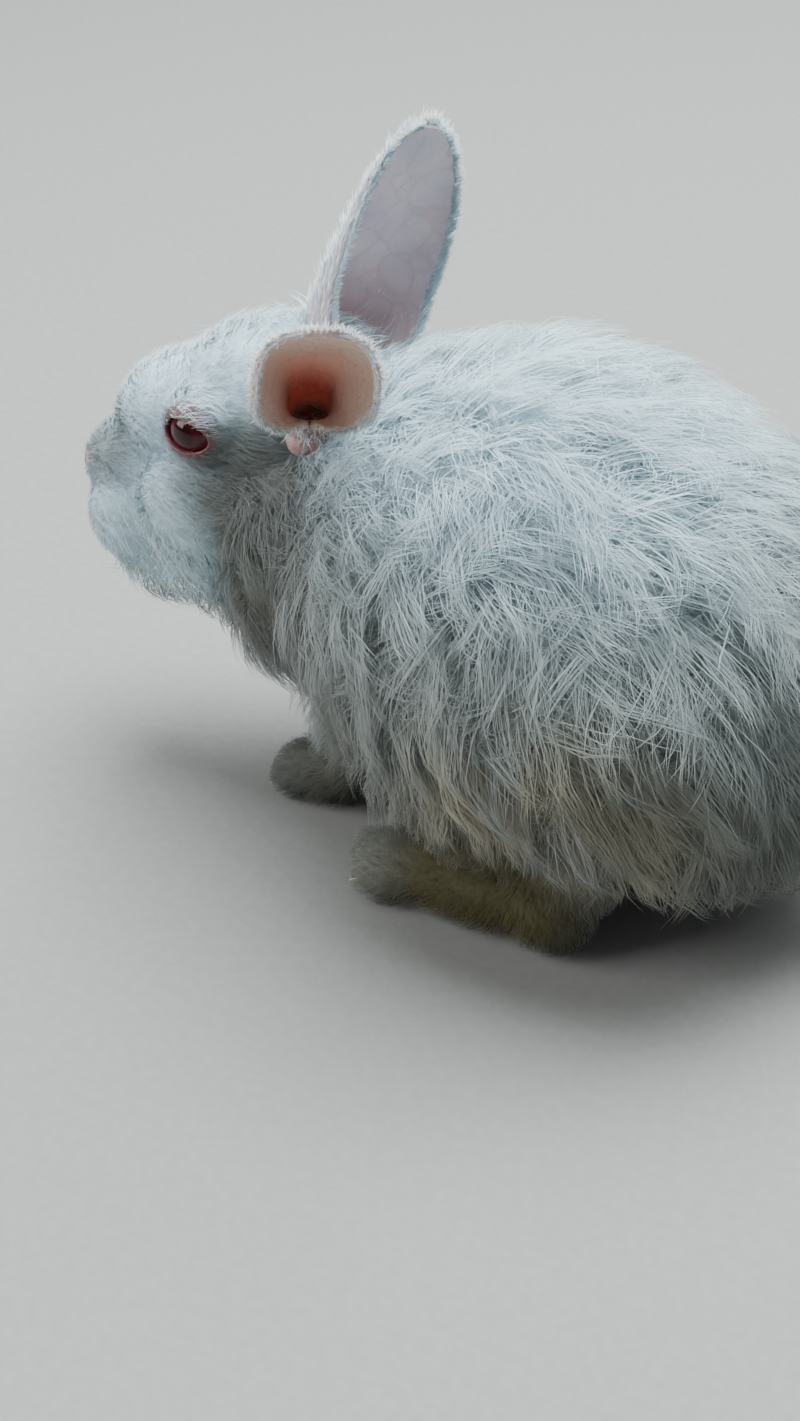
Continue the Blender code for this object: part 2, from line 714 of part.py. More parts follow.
def build_fore_leg(side, body_cut, collection):
    """A fore leg, and the room that it takes from the neck's and the body's wool."""
    leg = fuse(f"fore_leg_{side}", fore_leg_blobs(SIDES[side], collection), collection, 1.3 * MM, 4, 480)
    room = grown(leg, GAP, collection)
    combine(leg, [copy_of(body_cut, collection), floor_cutter(collection)], "DIFFERENCE")
    return keep_largest(leg), room


def build_neck(body_cut, head_form, near_rooms, collection):
    """The neck with the wool of its ruff, and the room that it takes from the body's wool."""
    neck = ellipsoid("neck", NECK_CENTRE, NECK_RADII, collection, segments=20)
    surface = surface_of(ellipsoid("neck_form", NECK_CENTRE, NECK_RADII, collection, segments=48))
    roots = round_roots(NECK_CENTRE, NECK_RADII, NECK_ROWS)
    draw = random.Random(NECK_SEED)
    lift = NECK_COAT - 1 * MM
    locks = grow_locks(surface, roots, lambda p: NECK_LIE, NECK_LOCK, 4 * MM, lift, draw, collection)
    wool = join_locks(locks, [copy_of(body_cut, collection)])
    combine(neck, [wool], "UNION")
    cuts = [copy_of(room, collection) for room in near_rooms]
    combine(neck, cuts + [grown(head_form, HEAD_ROOM, collection)], "DIFFERENCE")
    room = ellipsoid("neck_room", NECK_CENTRE, [r + NECK_COAT + 1 * MM for r in NECK_RADII], collection)
    return keep_largest(neck), room


def build_tail(body_cut, collection):
    """The tail, laid up against the rump, and the room that it takes from the body's wool."""
    tail = ellipsoid("tail", TAIL_CENTRE, TAIL_RADII, collection, segments=14)
    surface = surface_of(ellipsoid("tail_form", TAIL_CENTRE, TAIL_RADII, collection, segments=48))
    roots = round_roots(TAIL_CENTRE, TAIL_RADII, TAIL_ROWS)
    draw = random.Random(TAIL_SEED)
    lift = TAIL_COAT - 1 * MM
    locks = grow_locks(surface, roots, lambda p: TAIL_LIE, TAIL_LOCK, 4 * MM, lift, draw, collection)
    combine(tail, locks, "UNION")
    combine(tail, [copy_of(body_cut, collection)], "DIFFERENCE")
    room = ellipsoid("tail_room", TAIL_CENTRE, [r + TAIL_COAT + 1 * MM for r in TAIL_RADII], collection)
    return keep_largest(tail), room


def build_torso(rooms, ear_rooms, head_form, collection):
    """The torso: a smooth core under overlapping rows of wool locks."""
    core = body_form("torso", CORE_INSET, collection, CORE_BELLY_HEIGHT)
    socket = ellipsoid("socket", NECK_CENTRE, [r + GAP for r in NECK_RADII], collection, segments=20)
    combine(core, [socket, grown(head_form, HEAD_ROOM, collection)], "DIFFERENCE")
    fine = body_form("torso_form", CORE_INSET, collection, CORE_BELLY_HEIGHT, ring=64, steps=48)
    draw = random.Random(BODY_SEED)
    locks = grow_locks(
        surface_of(fine), body_roots(), body_lie, BODY_LOCK, LOCK_SUNK, TIP_LIFT, draw, collection
    )
    combine(core, [join_locks(locks, rooms + [grown(head_form, HEAD_ROOM + 1 * MM, collection)])], "UNION")
    combine(core, ear_rooms, "DIFFERENCE")
    return keep_largest(core)


def main():
    clear_scene()
    rabbit = new_collection("angora_rabbit")
    forms = new_collection("forms")
    wool = material("wool", (0.80, 0.84, 0.86), 0.9)
    face_fur = material("face_fur", (0.78, 0.82, 0.84), 0.85)
    foot_fur = material("foot_fur", (0.50, 0.47, 0.40), 0.9)
    ear_skin = material("ear_skin", (0.78, 0.60, 0.58), 0.6)
    eye_glass = material("eye_glass", (0.16, 0.01, 0.02), 0.08)

    ear_rooms = [grown(ear_shell(f"room_{side}", side, forms), 1.5 * MM, forms) for side in SIDES]
    head, head_form = build_head(ear_rooms, forms)
    nodes = {"head": (head, face_fur)}
    for side in SIDES:
        nodes[f"eye_{side}"] = (eye(side, forms), eye_glass)
        nodes[f"ear_{side}"] = (build_ear(side, head_form, forms), ear_skin)

    body_cut = body_form("body_cut", CORE_INSET - GAP, forms, CORE_BELLY_HEIGHT - GAP)
    rooms, fore_rooms = [], []
    for side in SIDES:
        leg, room = build_fore_leg(side, body_cut, forms)
        nodes[f"fore_leg_{side}"] = (leg, foot_fur)
        fore_rooms.append(room)
        leg, room = build_hind_leg(side, body_cut, forms)
        nodes[f"hind_leg_{side}"] = (leg, foot_fur)
        rooms.append(room)
    neck, neck_room = build_neck(body_cut, head_form, fore_rooms + ear_rooms, forms)
    nodes["neck"] = (neck, wool)
    tail, tail_room = build_tail(body_cut, forms)
    nodes["tail"] = (tail, wool)
    rooms += fore_rooms + [neck_room, tail_room]
    nodes["torso"] = (build_torso(rooms, ear_rooms, head_form, forms), wool)

    stand = bpy.data.objects.new("rabbit", None)
    stand.location = (-FOOTPRINT_CENTRE[0], -FOOTPRINT_CENTRE[1], 0)
    rabbit.objects.link(stand)
    for name, (node, look) in nodes.items():
        forms.objects.unlink(node)
        rabbit.objects.link(node)
        node.name = name
        node.data.materials.clear()
        node.data.materials.append(look)
        node.parent = stand
    discard(forms.objects)
    bpy.data.collections.remove(forms)


main()
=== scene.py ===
"""The looks of the angora rabbit: one skin, its wool and fur as solid strands, eyes, claws and whiskers."""

import json
import math

import bmesh
import bpy
import numpy as np
from mathutils import Matrix, Vector
from mathutils.kdtree import KDTree

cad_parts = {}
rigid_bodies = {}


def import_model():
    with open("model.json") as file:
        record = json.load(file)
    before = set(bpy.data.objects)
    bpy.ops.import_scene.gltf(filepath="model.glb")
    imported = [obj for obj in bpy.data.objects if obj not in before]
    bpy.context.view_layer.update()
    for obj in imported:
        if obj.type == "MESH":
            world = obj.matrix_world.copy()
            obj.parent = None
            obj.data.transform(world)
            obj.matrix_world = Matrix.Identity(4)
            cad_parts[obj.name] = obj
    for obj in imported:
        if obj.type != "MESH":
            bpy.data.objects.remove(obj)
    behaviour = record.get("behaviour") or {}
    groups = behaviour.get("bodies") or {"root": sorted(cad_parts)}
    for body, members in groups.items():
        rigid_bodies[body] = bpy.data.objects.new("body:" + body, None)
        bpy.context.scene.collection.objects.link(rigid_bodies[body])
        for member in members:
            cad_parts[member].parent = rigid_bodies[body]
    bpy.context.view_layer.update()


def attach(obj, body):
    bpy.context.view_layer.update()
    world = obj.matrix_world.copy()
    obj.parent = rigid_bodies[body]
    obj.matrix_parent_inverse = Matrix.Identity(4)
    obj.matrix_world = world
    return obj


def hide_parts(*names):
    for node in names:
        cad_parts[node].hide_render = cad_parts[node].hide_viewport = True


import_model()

MM = 0.001
FOOTPRINT_CENTRE = Vector((22 * MM, 0, 0))
SIDES = {"left": -1, "right": 1}
rng = np.random.default_rng(7)

# The body at the wool tips: x, height of the middle, half width, half height
BODY_SECTIONS = np.array([
    (-40, 88, 0, 0), (-37, 88, 26, 28), (-27, 86, 46, 49), (-8, 83, 61, 62), (22, 80, 71, 69),
    (50, 76, 76, 69), (78, 69, 74, 63), (102, 61, 63, 55), (122, 54, 44, 43), (134, 50, 22, 26),
    (139, 48, 0, 0),
]) * MM
BODY_CENTRE = np.array([50, 0, 77]) * MM
BODY_HALF = np.array([90, 77, 70]) * MM
WOOL_DEPTH = 14 * MM
BELLY_HEIGHT = 16 * MM
SKIN_VOXEL = 1.25 * MM
SKIN_SLOTS = 3

# The head's own frame: x back from the nose tip, y to the right, z up
HEAD_FRAME = (
    Matrix.Translation(Vector((-105, -16, 88.5)) * MM)
    @ Matrix.Rotation(math.radians(12.6), 4, "Z")
    @ Matrix.Rotation(math.radians(-12.4), 4, "Y")
)
EYE_RADIUS = 8.2 * MM
EYE_CENTRE = Vector((48, 17.6, 15)) * MM
EYE_LOOK = Vector((-0.22, 1.0, 0.12)).normalized()
EYE_OPENING = Vector((7.4, 7, 4.6)) * MM
EYE_TILT = math.radians(20)  # the front corner stands higher
# In millimetres
LID_THICKNESS = 0.5
SOCKET_GAP = 0.12
NOSTRIL = (0.8, 3.6, 0.4)

EAR_LENGTHS = {"left": 74 * MM, "right": 73.5 * MM}
# Share of the length, radius of the cup, angle from its back to each margin
EAR_PROFILES = {
    "left": np.array([
        (0.0, 5.6, 184), (0.08, 5.9, 184), (0.16, 6.4, 184), (0.24, 7.8, 174), (0.34, 10.6, 145),
        (0.44, 12.5, 121), (0.55, 13.6, 112), (0.68, 14.2, 106), (0.8, 14.2, 96), (0.9, 13.9, 76),
        (0.96, 13.4, 50), (1.0, 12.8, 14),
    ]),
    "right": np.array([
        (0.0, 7.5, 150), (0.12, 11.0, 128), (0.25, 14.5, 106), (0.4, 16.5, 88), (0.55, 17.0, 76),
        (0.7, 17.0, 64), (0.82, 16.6, 52), (0.91, 16.0, 39), (0.97, 15.5, 24), (1.0, 15.0, 8),
    ]),
}
EAR_UNDER_FRINGE = {"left": 0.97, "right": 0.9}  # share of the width that is skin
EAR_THICKNESS = 1.5 * MM
EAR_SQUARENESS = 3  # 2 is a round cup, more is a flatter back with fuller corners
EAR_ROOTS = {
    "left": HEAD_FRAME @ (Vector((79, -18, 10)) * MM),
    "right": HEAD_FRAME @ (Vector((75, 12.5, 17)) * MM),
}
EAR_AXES = {"left": Vector((0.515, -0.722, 0.487)), "right": Vector((0.455, 0.10, 0.93))}
EAR_OPENINGS = {"left": Vector((0.306, -0.53, -0.791)), "right": Vector((0.88, -0.47, -0.2))}
EAR_LIFTS = {"left": Vector((-2.5, 3.5, 16.5)) * MM, "right": Vector((0, 0, 0))}

HIND_FOOT_Y = 46
HEEL_X = 70
TOE_X = 4
FORE_PAW = (-24, 21, 9)
# The four toes of a foot: how far each stands back, and to the side
TOES = [(abs(k - 1.4) * 2, (k - 1.5) * 4.9) for k in range(4)]
PAW_SPREAD = 0.85  # the fore toes' spread, as a share of the hind toes'
WHISKER_RADIUS = 0.05 * MM

# The coat of the head: place and lie in the head's frame, length, rise from the skin, clumping, wildness
HEAD_COAT = [
    ((1, 0, 2), (1, 0, 0.3), 3.2, 1.7, 0.2, 0.3),
    ((1, 4, -6), (0.4, 0.5, -0.8), 3.2, 1.8, 0.2, 0.3),
    ((14, 0, 13), (1, 0, 0.1), 4.5, 2.3, 0.3, 0.4),
    ((35, 0, 30), (1, 0, 0.1), 7, 4, 0.3, 0.4),
    ((58, 0, 36), (1, 0, 0.2), 11, 8, 0.4, 0.6),
    ((78, 0, 32), (0.6, 0, 0.9), 19, 15, 0.6, 0.7),
    ((14, 13, 2), (1, 0.1, -0.05), 5, 2.2, 0.2, 0.15),
    ((6, 7, -13), (0.6, 0.5, -0.2), 2.8, 1.4, 0.15, 0.2),
    ((7, 8, -18), (0.5, 0.3, -0.8), 3.2, 1.6, 0.15, 0.2),
    ((14, 12, -16), (0.6, 0.5, -0.4), 4.5, 3, 0.2, 0.4),
    ((14, 15, -8), (0.7, 0.6, -0.3), 7, 6, 0.3, 0.8),
    ((17, 15, -25), (0.6, 0.4, -0.5), 12, 10.5, 0.3, 0.9),
    ((3, 1, -12), (0.3, 0.5, -0.6), 2.2, 1.0, 0.1, 0.2),
    ((4, 5, -20), (0.2, 0.3, -1), 4.5, 2.6, 0.2, 0.4),
    ((16, 4, -37), (0.5, 0.1, -1), 13, 12, 0.3, 0.9),
    ((28, 18, -26), (0.7, 0.4, -0.5), 14, 12.5, 0.35, 0.9),
    ((47, 21, 14), (1, 0, -0.1), 1.8, 0.8, 0.1, 0.2),
    ((36, 21, 6), (1, 0.05, -0.2), 5.0, 2.0, 0.2, 0.2),
    ((42, 24, 0), (1, 0, -0.35), 7, 3.5, 0.3, 0.25),
    ((48, 19, 27), (1, 0.25, 0.05), 10, 5, 0.35, 0.3),
    ((64, 24, 12), (1, 0, -0.1), 8, 4, 0.3, 0.3),
    ((50, 25, -16), (0.8, 0.3, -0.4), 12, 9.5, 0.35, 0.7),
    ((42, 12, -43), (0.5, 0.1, -1), 17, 13, 0.4, 0.5),
    ((80, 22, 0), (0.8, 0.1, -0.5), 14, 7, 0.3, 0.4),
]
# The coat of the body, place and lie in the body's frame
BODY_COAT = [
    ((-52, 0, 52), (0.2, 0, -1), 20, 10, 0.35, 0.4),
    ((-42, 26, 92), (0.7, 0.1, -0.7), 20, 9, 0.3, 0.35),
    ((-28, 0, 128), (1, 0, 0.1), 20, 11, 0.5, 0.8),
    ((-42, 14, 58), (0.3, 0.2, -1), 22, 10, 0.4, 0.35),
    ((-14, 40, 85), (0.7, 0.1, -0.8), 28, 13, 0.65, 0.55),
    ((-4, 0, 125), (1, 0, 0.1), 22, 13, 0.55, 0.9),
    ((14, 26, 120), (0.9, 0.4, -0.2), 24, 15, 0.55, 0.9),
    ((50, 0, 130), (1, 0, 0.1), 24, 16, 0.55, 0.9),
    ((30, 34, 112), (0.8, 0.4, -0.4), 25, 15, 0.6, 0.85),
    ((80, 30, 105), (0.8, 0.4, -0.5), 26, 16, 0.6, 0.85),
    ((102, 0, 92), (0.7, 0, -0.7), 26, 16, 0.6, 0.8),
    ((118, 0, 70), (0.1, 0, -1), 26, 14, 0.6, 0.7),
    ((0, 46, 62), (0.4, 0.1, -1), 36, 15, 0.88, 0.45),
    ((20, 56, 75), (0.6, 0.1, -1), 36, 15, 0.88, 0.5),
    ((70, 56, 75), (0.6, 0.1, -1), 36, 15, 0.88, 0.5),
    ((30, 50, 40), (0.4, 0, -1), 30, 12, 0.88, 0.4),
    ((90, 44, 45), (0.3, 0, -1), 32, 13, 0.88, 0.4),
    ((50, 0, 20), (1, 0, 0), 14, 7, 0.3, 0.3),
    ((50, 56, 50), (0.3, 0.1, -1), 30, 11, 0.88, 0.4),
    ((62, 50, 28), (0.0, 0, -1), 9, 4, 0.4, 0.3),
    ((74, 46, 24), (0.3, 0, -1), 9, 4, 0.4, 0.3),
    ((36, 46, 20), (-1, 0, -0.3), 8, 3.6, 0.3, 0.4),
    ((10, 46, 14), (-1, 0, -0.3), 6, 3, 0.3, 0.4),
    ((4, 46, 6), (-1, 0, -0.5), 4.4, 2, 0.3, 0.3),
    ((72, 46, 10), (0, 0, -1), 7, 3, 0.3, 0.2),
    ((-10, 22, 36), (-0.2, 0, -1), 14, 6, 0.4, 0.3),
    ((-20, 21, 16), (-0.8, 0, -0.6), 8, 4, 0.4, 0.4),
    ((-36, 21, 9), (-1, 0, -0.4), 4.6, 2.2, 0.3, 0.3),
    ((124, 0, 45), (0.6, 0, 0.5), 20, 10, 0.4, 0.4),
    ((131, 0, 58), (0.3, 0, 1), 20, 10, 0.4, 0.4),
]
# Where along a strand its rings stand
SHORT_STATIONS = (0, 0.5, 1.0)
LONG_STATIONS = (0, 0.24, 0.48, 0.74, 1.0)
# The kinds of strand: how many, what the coat's length, rise, clumping and wildness are multiplied by,
# what is added to the wildness, the lean of each strand and of each tuft, the curl, and the rings
KINDS = {
    "fine": (36000, (1, 1, 1, 1), 0, 0.5, 0, 0.7, SHORT_STATIONS),
    "fluff": (46000, (0.5, 0.85, 0.5, 1.6), 0.3, 0.5, 0.3, 1.5, SHORT_STATIONS),
    "wool": (21500, (1, 1, 1, 0.7), 0, 0.25, 0.3, 0.7, LONG_STATIONS),
}
FORM_SHADING = 0.95  # how far the strands take the shading of the form under them
EAR_FORM_SHADING = 0.25
STRAY_SHARE = 0.05
ROOT_DEPTH = 1 * MM
FLOOR_GAP = 0.5 * MM
SOLE_HEIGHT = 2.2 * MM  # no fur grows lower
# How far back the face's piece of fur reaches, and how low
FACE_LENGTH = 90 * MM
FACE_HEIGHT = 40 * MM
PATCH = 0.003  # the width of a strand's patch of the unwrap
# The wool's lower edge above the feet: x and height
HEM = np.array([(-60, 28), (-20, 30), (0, 36), (60, 42), (78, 34), (95, 18), (140, 12)]) * MM

# Waves of 13 to 32 mm whose sum is the coat's tufts: way, phase, push
BILLOWS = [
    (unit_way * 2 * np.pi / (rng.uniform(13, 32) * MM), rng.uniform(0, 2 * np.pi), push)
    for unit_way, push in ((w / np.linalg.norm(w), p) for w, p in rng.normal(0, 1, (14, 2, 3)))
]


# Small helpers


def remove_scene_defaults():
    for obj in list(bpy.context.scene.objects):
        if obj.type in {"LIGHT", "CAMERA"}:
            bpy.data.objects.remove(obj)


def link(obj):
    bpy.context.scene.collection.objects.link(obj)
    return obj


def evaluated_mesh(obj):
    bpy.context.view_layer.update()
    graph = bpy.context.evaluated_depsgraph_get()
    return bpy.data.meshes.new_from_object(obj.evaluated_get(graph))


def bake(obj):
    """The object's evaluated mesh becomes its mesh."""
    mesh = evaluated_mesh(obj)
    obj.modifiers.clear()
    obj.data = mesh
    return obj


def ellipsoid(name, centre, radii, frame_matrix=None, turn=None, segments=32):
    ball = bmesh.new()
    bmesh.ops.create_uvsphere(ball, u_segments=segments, v_segments=segments // 2, radius=1)
    size = Matrix.Diagonal((*[r * MM for r in radii], 1))
    place = Matrix.Translation(Vector(centre) * MM) @ (turn or Matrix.Identity(4)) @ size
    ball.transform((frame_matrix or Matrix.Identity(4)) @ place)
    mesh = bpy.data.meshes.new(name)
    ball.to_mesh(mesh)
    ball.free()
    return link(bpy.data.objects.new(name, mesh))


def grid_mesh(name, rows, closed=False):
    """A mesh through rows of points, open or closed round each row."""
    rows = np.asarray(rows)
    count, across = rows.shape[:2]
    faces = []
    for i in range(count - 1):
        for k in range(across if closed else across - 1):
            a, b = i * across + k, i * across + (k + 1) % across
            faces.append((a, b, b + across, a + across))
    mesh = bpy.data.meshes.new(name)
    mesh.from_pydata([tuple(p) for p in rows.reshape(-1, 3)], [], faces)
    return mesh


def boolean(obj, other, operation):
    modifier = obj.modifiers.new("cut", "BOOLEAN")
    modifier.operation = operation
    modifier.object = other
    modifier.solver = "MANIFOLD"
    bake(obj)
    bpy.data.objects.remove(other)
    return obj


def add_smoothing(obj, rounds):
    smooth = obj.modifiers.new("smooth", "SMOOTH")
    smooth.factor = 0.5
    smooth.iterations = rounds


def tubes(name, lines, depth, resolution, radii=None):
    """Round tubes along the lines of points, closed at their ends."""
    curve = bpy.data.curves.new(name, "CURVE")
    curve.dimensions = "3D"
    curve.bevel_depth = depth
    curve.bevel_resolution = resolution
    curve.use_fill_caps = True
    for line in lines:
        spline = curve.splines.new("POLY")
        spline.points.add(len(line) - 1)
        for k, place in enumerate(line):
            spline.points[k].co = (*place, 1)
            spline.points[k].radius = radii[k] if radii else 1
    holder = link(bpy.data.objects.new(f"{name}_curve", curve))
    mesh = evaluated_mesh(holder)
    bpy.data.objects.remove(holder)
    return link(bpy.data.objects.new(name, mesh))


def mend(obj, fill=False, split=False):
    """Fills the mesh's holes or splits its faces where asked, and turns its faces outwards."""
    mended = bmesh.new()
    mended.from_mesh(obj.data)
    if fill:
        bmesh.ops.holes_fill(mended, edges=[e for e in mended.edges if e.is_boundary])
    if split:
        bmesh.ops.triangulate(mended, faces=mended.faces)
    bmesh.ops.recalc_face_normals(mended, faces=mended.faces)
    mended.to_mesh(obj.data)
    mended.free()
    return obj


def to_frame(obj):
    """Moves a finished piece from the body's own frame to the shared one."""
    obj.data.transform(Matrix.Translation(-FOOTPRINT_CENTRE))
    return obj


def mirrored(point, sign):
    """The point of the right side, moved to the left one where the sign is -1."""
    x, y, z = point
    return Vector((x, y * sign, z))


def unit(vectors):
    return vectors / np.maximum(np.linalg.norm(vectors, axis=-1, keepdims=True), 1e-9)


# The skin


def body_rings(inset, rings=40, around=48):
    """Rings round the body under its wool, from the chest to the rump."""
    xs = BODY_SECTIONS[:, 0]
    sweep = 0.5 - 0.5 * np.cos(np.pi * np.linspace(0.03, 0.97, rings))
    share = 1 - inset / BODY_HALF
    angle = np.linspace(0, 2 * np.pi, around, endpoint=False)
    rows = []
    for x in xs[0] + (xs[-1] - xs[0]) * sweep:
        middle, wide, high = [np.interp(x, xs, BODY_SECTIONS[:, k]) for k in (1, 2, 3)]
        ring = np.stack([np.full(around, x), wide * np.sin(angle), middle + high * np.cos(angle)], axis=1)
        ring = BODY_CENTRE + (ring - BODY_CENTRE) * share
        ring[:, 2] = np.maximum(ring[:, 2], BELLY_HEIGHT)
        rows.append(ring)
    return rows


def body_core():
    mesh = grid_mesh("body_core", body_rings(WOOL_DEPTH), closed=True)
    return mend(link(bpy.data.objects.new("body_core", mesh)), fill=True)


def skin_rounds():
    """Overlapping rounds for everything but the torso and ears: centre, radii, in the head's frame or not."""
    head = [
        ((60, 0, 8), (30, 22, 25)),
        ((38, 0, 13), (22, 15.5, 14.5)),
        ((78, 0, 4), (18, 18, 20)),
        ((22, 0, -2), (21, 13.5, 14.5)),
        ((6, 0, -1.5), (6.8, 6.8, 6.3)),
        ((9, 0, -10), (8.5, 6.5, 8)),
        ((20, 0, -29), (17, 12, 11)),
        ((42, 0, -29), (24, 17, 16)),
    ]
    body = [
        ((-34, -3, 78), (23, 29, 40)),
        ((-12, 0, 80), (30, 36, 46)),
        ((126, 0, 46), (10, 10, 14)),
    ]
    for side in SIDES.values():
        head.append(((14, 8 * side, -15.5), (13, 9, 14)))
        head.append(((46, 11.5 * side, -10), (25, 14, 20)))
        head.append(((50, 9 * side, 13), (16, 12.5, 12.5)))
        head.append((mirrored(EYE_CENTRE / MM, side), (9.8, 9.8, 9.8)))
        y = HIND_FOOT_Y * side
        body.append(((46, 36 * side, 43), (36, 20, 31)))
        body.append(((62, 42 * side, 26), (17, 11, 18)))
        body.append(((HEEL_X - 8, y, 11), (12, 9, 10.6)))
        body.append((((HEEL_X + TOE_X) / 2, y, 9.8), (29, 9, 9.4)))
        body.append(((TOE_X + 14, y, 8.8), (15.5, 10, 8.4)))
        x, paw_y, z = mirrored(FORE_PAW, side)
        body.append(((x, paw_y, z - 0.6), (13.5, 8, 8)))
        body.append(((x + 9, paw_y, z + 8), (9, 8, 12)))
        body.append(((x + 13, paw_y + 2 * side, z + 26), (10, 9, 24)))
        for back, aside in TOES:
            body.append(((TOE_X + 7 + back, y + aside, 6), (8, 3.3, 5.4)))
            body.append(((x - 10 + back, paw_y + aside * PAW_SPREAD, z - 3.2), (6.4, 2.7, 4.8)))
    return [(c, r, HEAD_FRAME) for c, r in head] + [(c, r, None) for c, r in body]


def eye_centre(side):
    return mirrored(EYE_CENTRE, SIDES[side])


def eye_turn(side):
    look = mirrored(EYE_LOOK, SIDES[side])
    tilt = Matrix.Rotation(EYE_TILT * SIDES[side], 4, "Y")
    return look, look.to_track_quat("Y", "Z").to_matrix().to_4x4() @ tilt


def ear_row(side, t, across, inset=0.0):
    """Points across the ear at that share of its length, and its middle. Inset pulls them into the cup."""
    axis = EAR_AXES[side].normalized()
    opening = EAR_OPENINGS[side]
    opening = (opening - axis * opening.dot(axis)).normalized()
    side_way = axis.cross(opening)
    profile = EAR_PROFILES[side]
    radius = np.interp(t, profile[:, 0], profile[:, 1]) * MM
    fringe = 1 - (1 - EAR_UNDER_FRINGE[side]) * min(max((t - 0.25) / 0.15, 0), 1)
    widest = math.radians(np.interp(t, profile[:, 0], profile[:, 2]) * fringe)
    back = EAR_ROOTS[side] - opening * profile[0, 1] * MM + axis * EAR_LENGTHS[side] * t
    centre = back + EAR_LIFTS[side] * (1 - (1 - t) ** 6) + opening * radius
    row = []
    for u in across:
        along, out = math.sin(widest * u), math.cos(widest * u)
        power = abs(along) ** EAR_SQUARENESS + abs(out) ** EAR_SQUARENESS
        reach = (radius - inset) * power ** (-1 / EAR_SQUARENESS)
        row.append(centre + (side_way * along - opening * out) * reach)
    return row, centre


def ear_shares(count):
    """Shares of the ear's length, closer together near its tip."""
    u = np.linspace(0, 1, count)
    return 1 - (1 - u) ** 1.5


def ear_cup(side):
    shares = ear_shares(34)
    rows = [ear_row(side, t, np.linspace(-1, 1, 33))[0] for t in shares]
    mesh = grid_mesh(f"ear_{side}", rows)
    obj = link(bpy.data.objects.new(f"ear_{side}_cup", mesh))
    add_smoothing(obj, 3)
    shell = obj.modifiers.new("thickness", "SOLIDIFY")
    shell.thickness = EAR_THICKNESS
    shell.offset = 0
    return mend(bake(obj), split=True)


def build_skin():
    """One closed skin for the head, body, tail and legs, still without its ears."""
    pieces = [body_core()]
    pieces += [ellipsoid(f"round_{i}", c, r, f) for i, (c, r, f) in enumerate(skin_rounds())]
    whole = bmesh.new()
    for piece in pieces:
        whole.from_mesh(piece.data)
        bpy.data.objects.remove(piece)
    mesh = bpy.data.meshes.new("rabbit_skin")
    whole.to_mesh(mesh)
    whole.free()
    skin = link(bpy.data.objects.new("rabbit_skin", mesh))
    remesh = skin.modifiers.new("remesh", "REMESH")
    remesh.mode = "VOXEL"
    remesh.voxel_size = SKIN_VOXEL
    add_smoothing(skin, 10)
    bake(skin)
    return skin


def tool(name, centre, radii, turn=None, segments=32, slot=0):
    """An ellipsoid of the head whose faces carry that material slot of the skin."""
    return slotted(ellipsoid(name, centre, radii, HEAD_FRAME, turn, segments), slot)


def slotted(obj, slot):
    """Gives all its faces one of the skin's slots: 0 is furred skin, 1 an ear, 2 a bare edge."""
    for _ in range(SKIN_SLOTS):
        obj.data.materials.append(None)
    obj.data.polygons.foreach_set("material_index", np.full(len(obj.data.polygons), slot, np.int32))
    return obj


def mouth_lines():
    """The line of the lips and the cleft under the nose, in the shared frame."""
    lips = []
    for degrees in range(-75, 76, 15):
        angle = math.radians(degrees)
        ahead, aside = math.cos(angle), math.sin(angle)
        lips.append(Vector((17.5 - 15.5 * ahead, 11 * aside, -17 + 2.5 * ahead)))
    cleft = [Vector((-0.6, 0, -5)), Vector((0.4, 0, -9)), Vector((2.6, 0, -14.5))]
    return [[HEAD_FRAME @ (place * MM) for place in line] for line in (lips, cleft)]


def mouth_cutter():
    return slotted(tubes("mouth", mouth_lines(), 0.7 * MM, 2), 2)


def finish_skin(skin):
    """Lids, sockets, nostrils, mouth line and ears."""
    radius = EYE_RADIUS / MM
    for side, sign in SIDES.items():
        centre = eye_centre(side)
        at = tuple(centre / MM)
        boolean(skin, tool("lids", at, [radius + LID_THICKNESS] * 3, segments=48), "UNION")
        look, turn = eye_turn(side)
        front = tuple((centre + look * EYE_RADIUS) / MM)
        boolean(skin, tool("slit", front, tuple(EYE_OPENING / MM), turn, 40, 2), "DIFFERENCE")
        boolean(skin, tool("socket", at, [radius + SOCKET_GAP] * 3, segments=48, slot=2), "DIFFERENCE")
        tilt = Matrix.Rotation(math.radians(35 * sign), 4, "X")
        nostril = tool("nostril", mirrored(NOSTRIL, sign), (3.2, 0.8, 2.2), tilt, 16, 2)
        boolean(skin, nostril, "DIFFERENCE")
        boolean(skin, slotted(ear_cup(side), 1), "UNION")
    boolean(skin, mouth_cutter(), "DIFFERENCE")
    return skin


# The coat


def coat_controls():
    """The coat's values at places over the whole body, both sides."""
    places, lies, values = [], [], []
    for rows, matrix in ((HEAD_COAT, HEAD_FRAME), (BODY_COAT, Matrix.Identity(4))):
        for place, lie, *value in rows:
            for side in (-1, 1) if place[1] else (1,):
                places.append(matrix @ (mirrored(place, side) * MM))
                lies.append((matrix.to_3x3() @ mirrored(lie, side)).normalized())
                values.append(value)
    return np.array(places), np.array(lies), np.array(values)


def coat_at(points):
    """Lie, then length, rise, clumping and wildness at each point, blended from the nearest controls."""
    places, lies, values = coat_controls()
    away = ((points[:, None, :] - places[None]) ** 2).sum(axis=2)
    weight = 1 / (away + (4 * MM) ** 2) ** 2.5
    weight /= weight.sum(axis=1, keepdims=True)
    return unit(weight @ lies), weight @ values


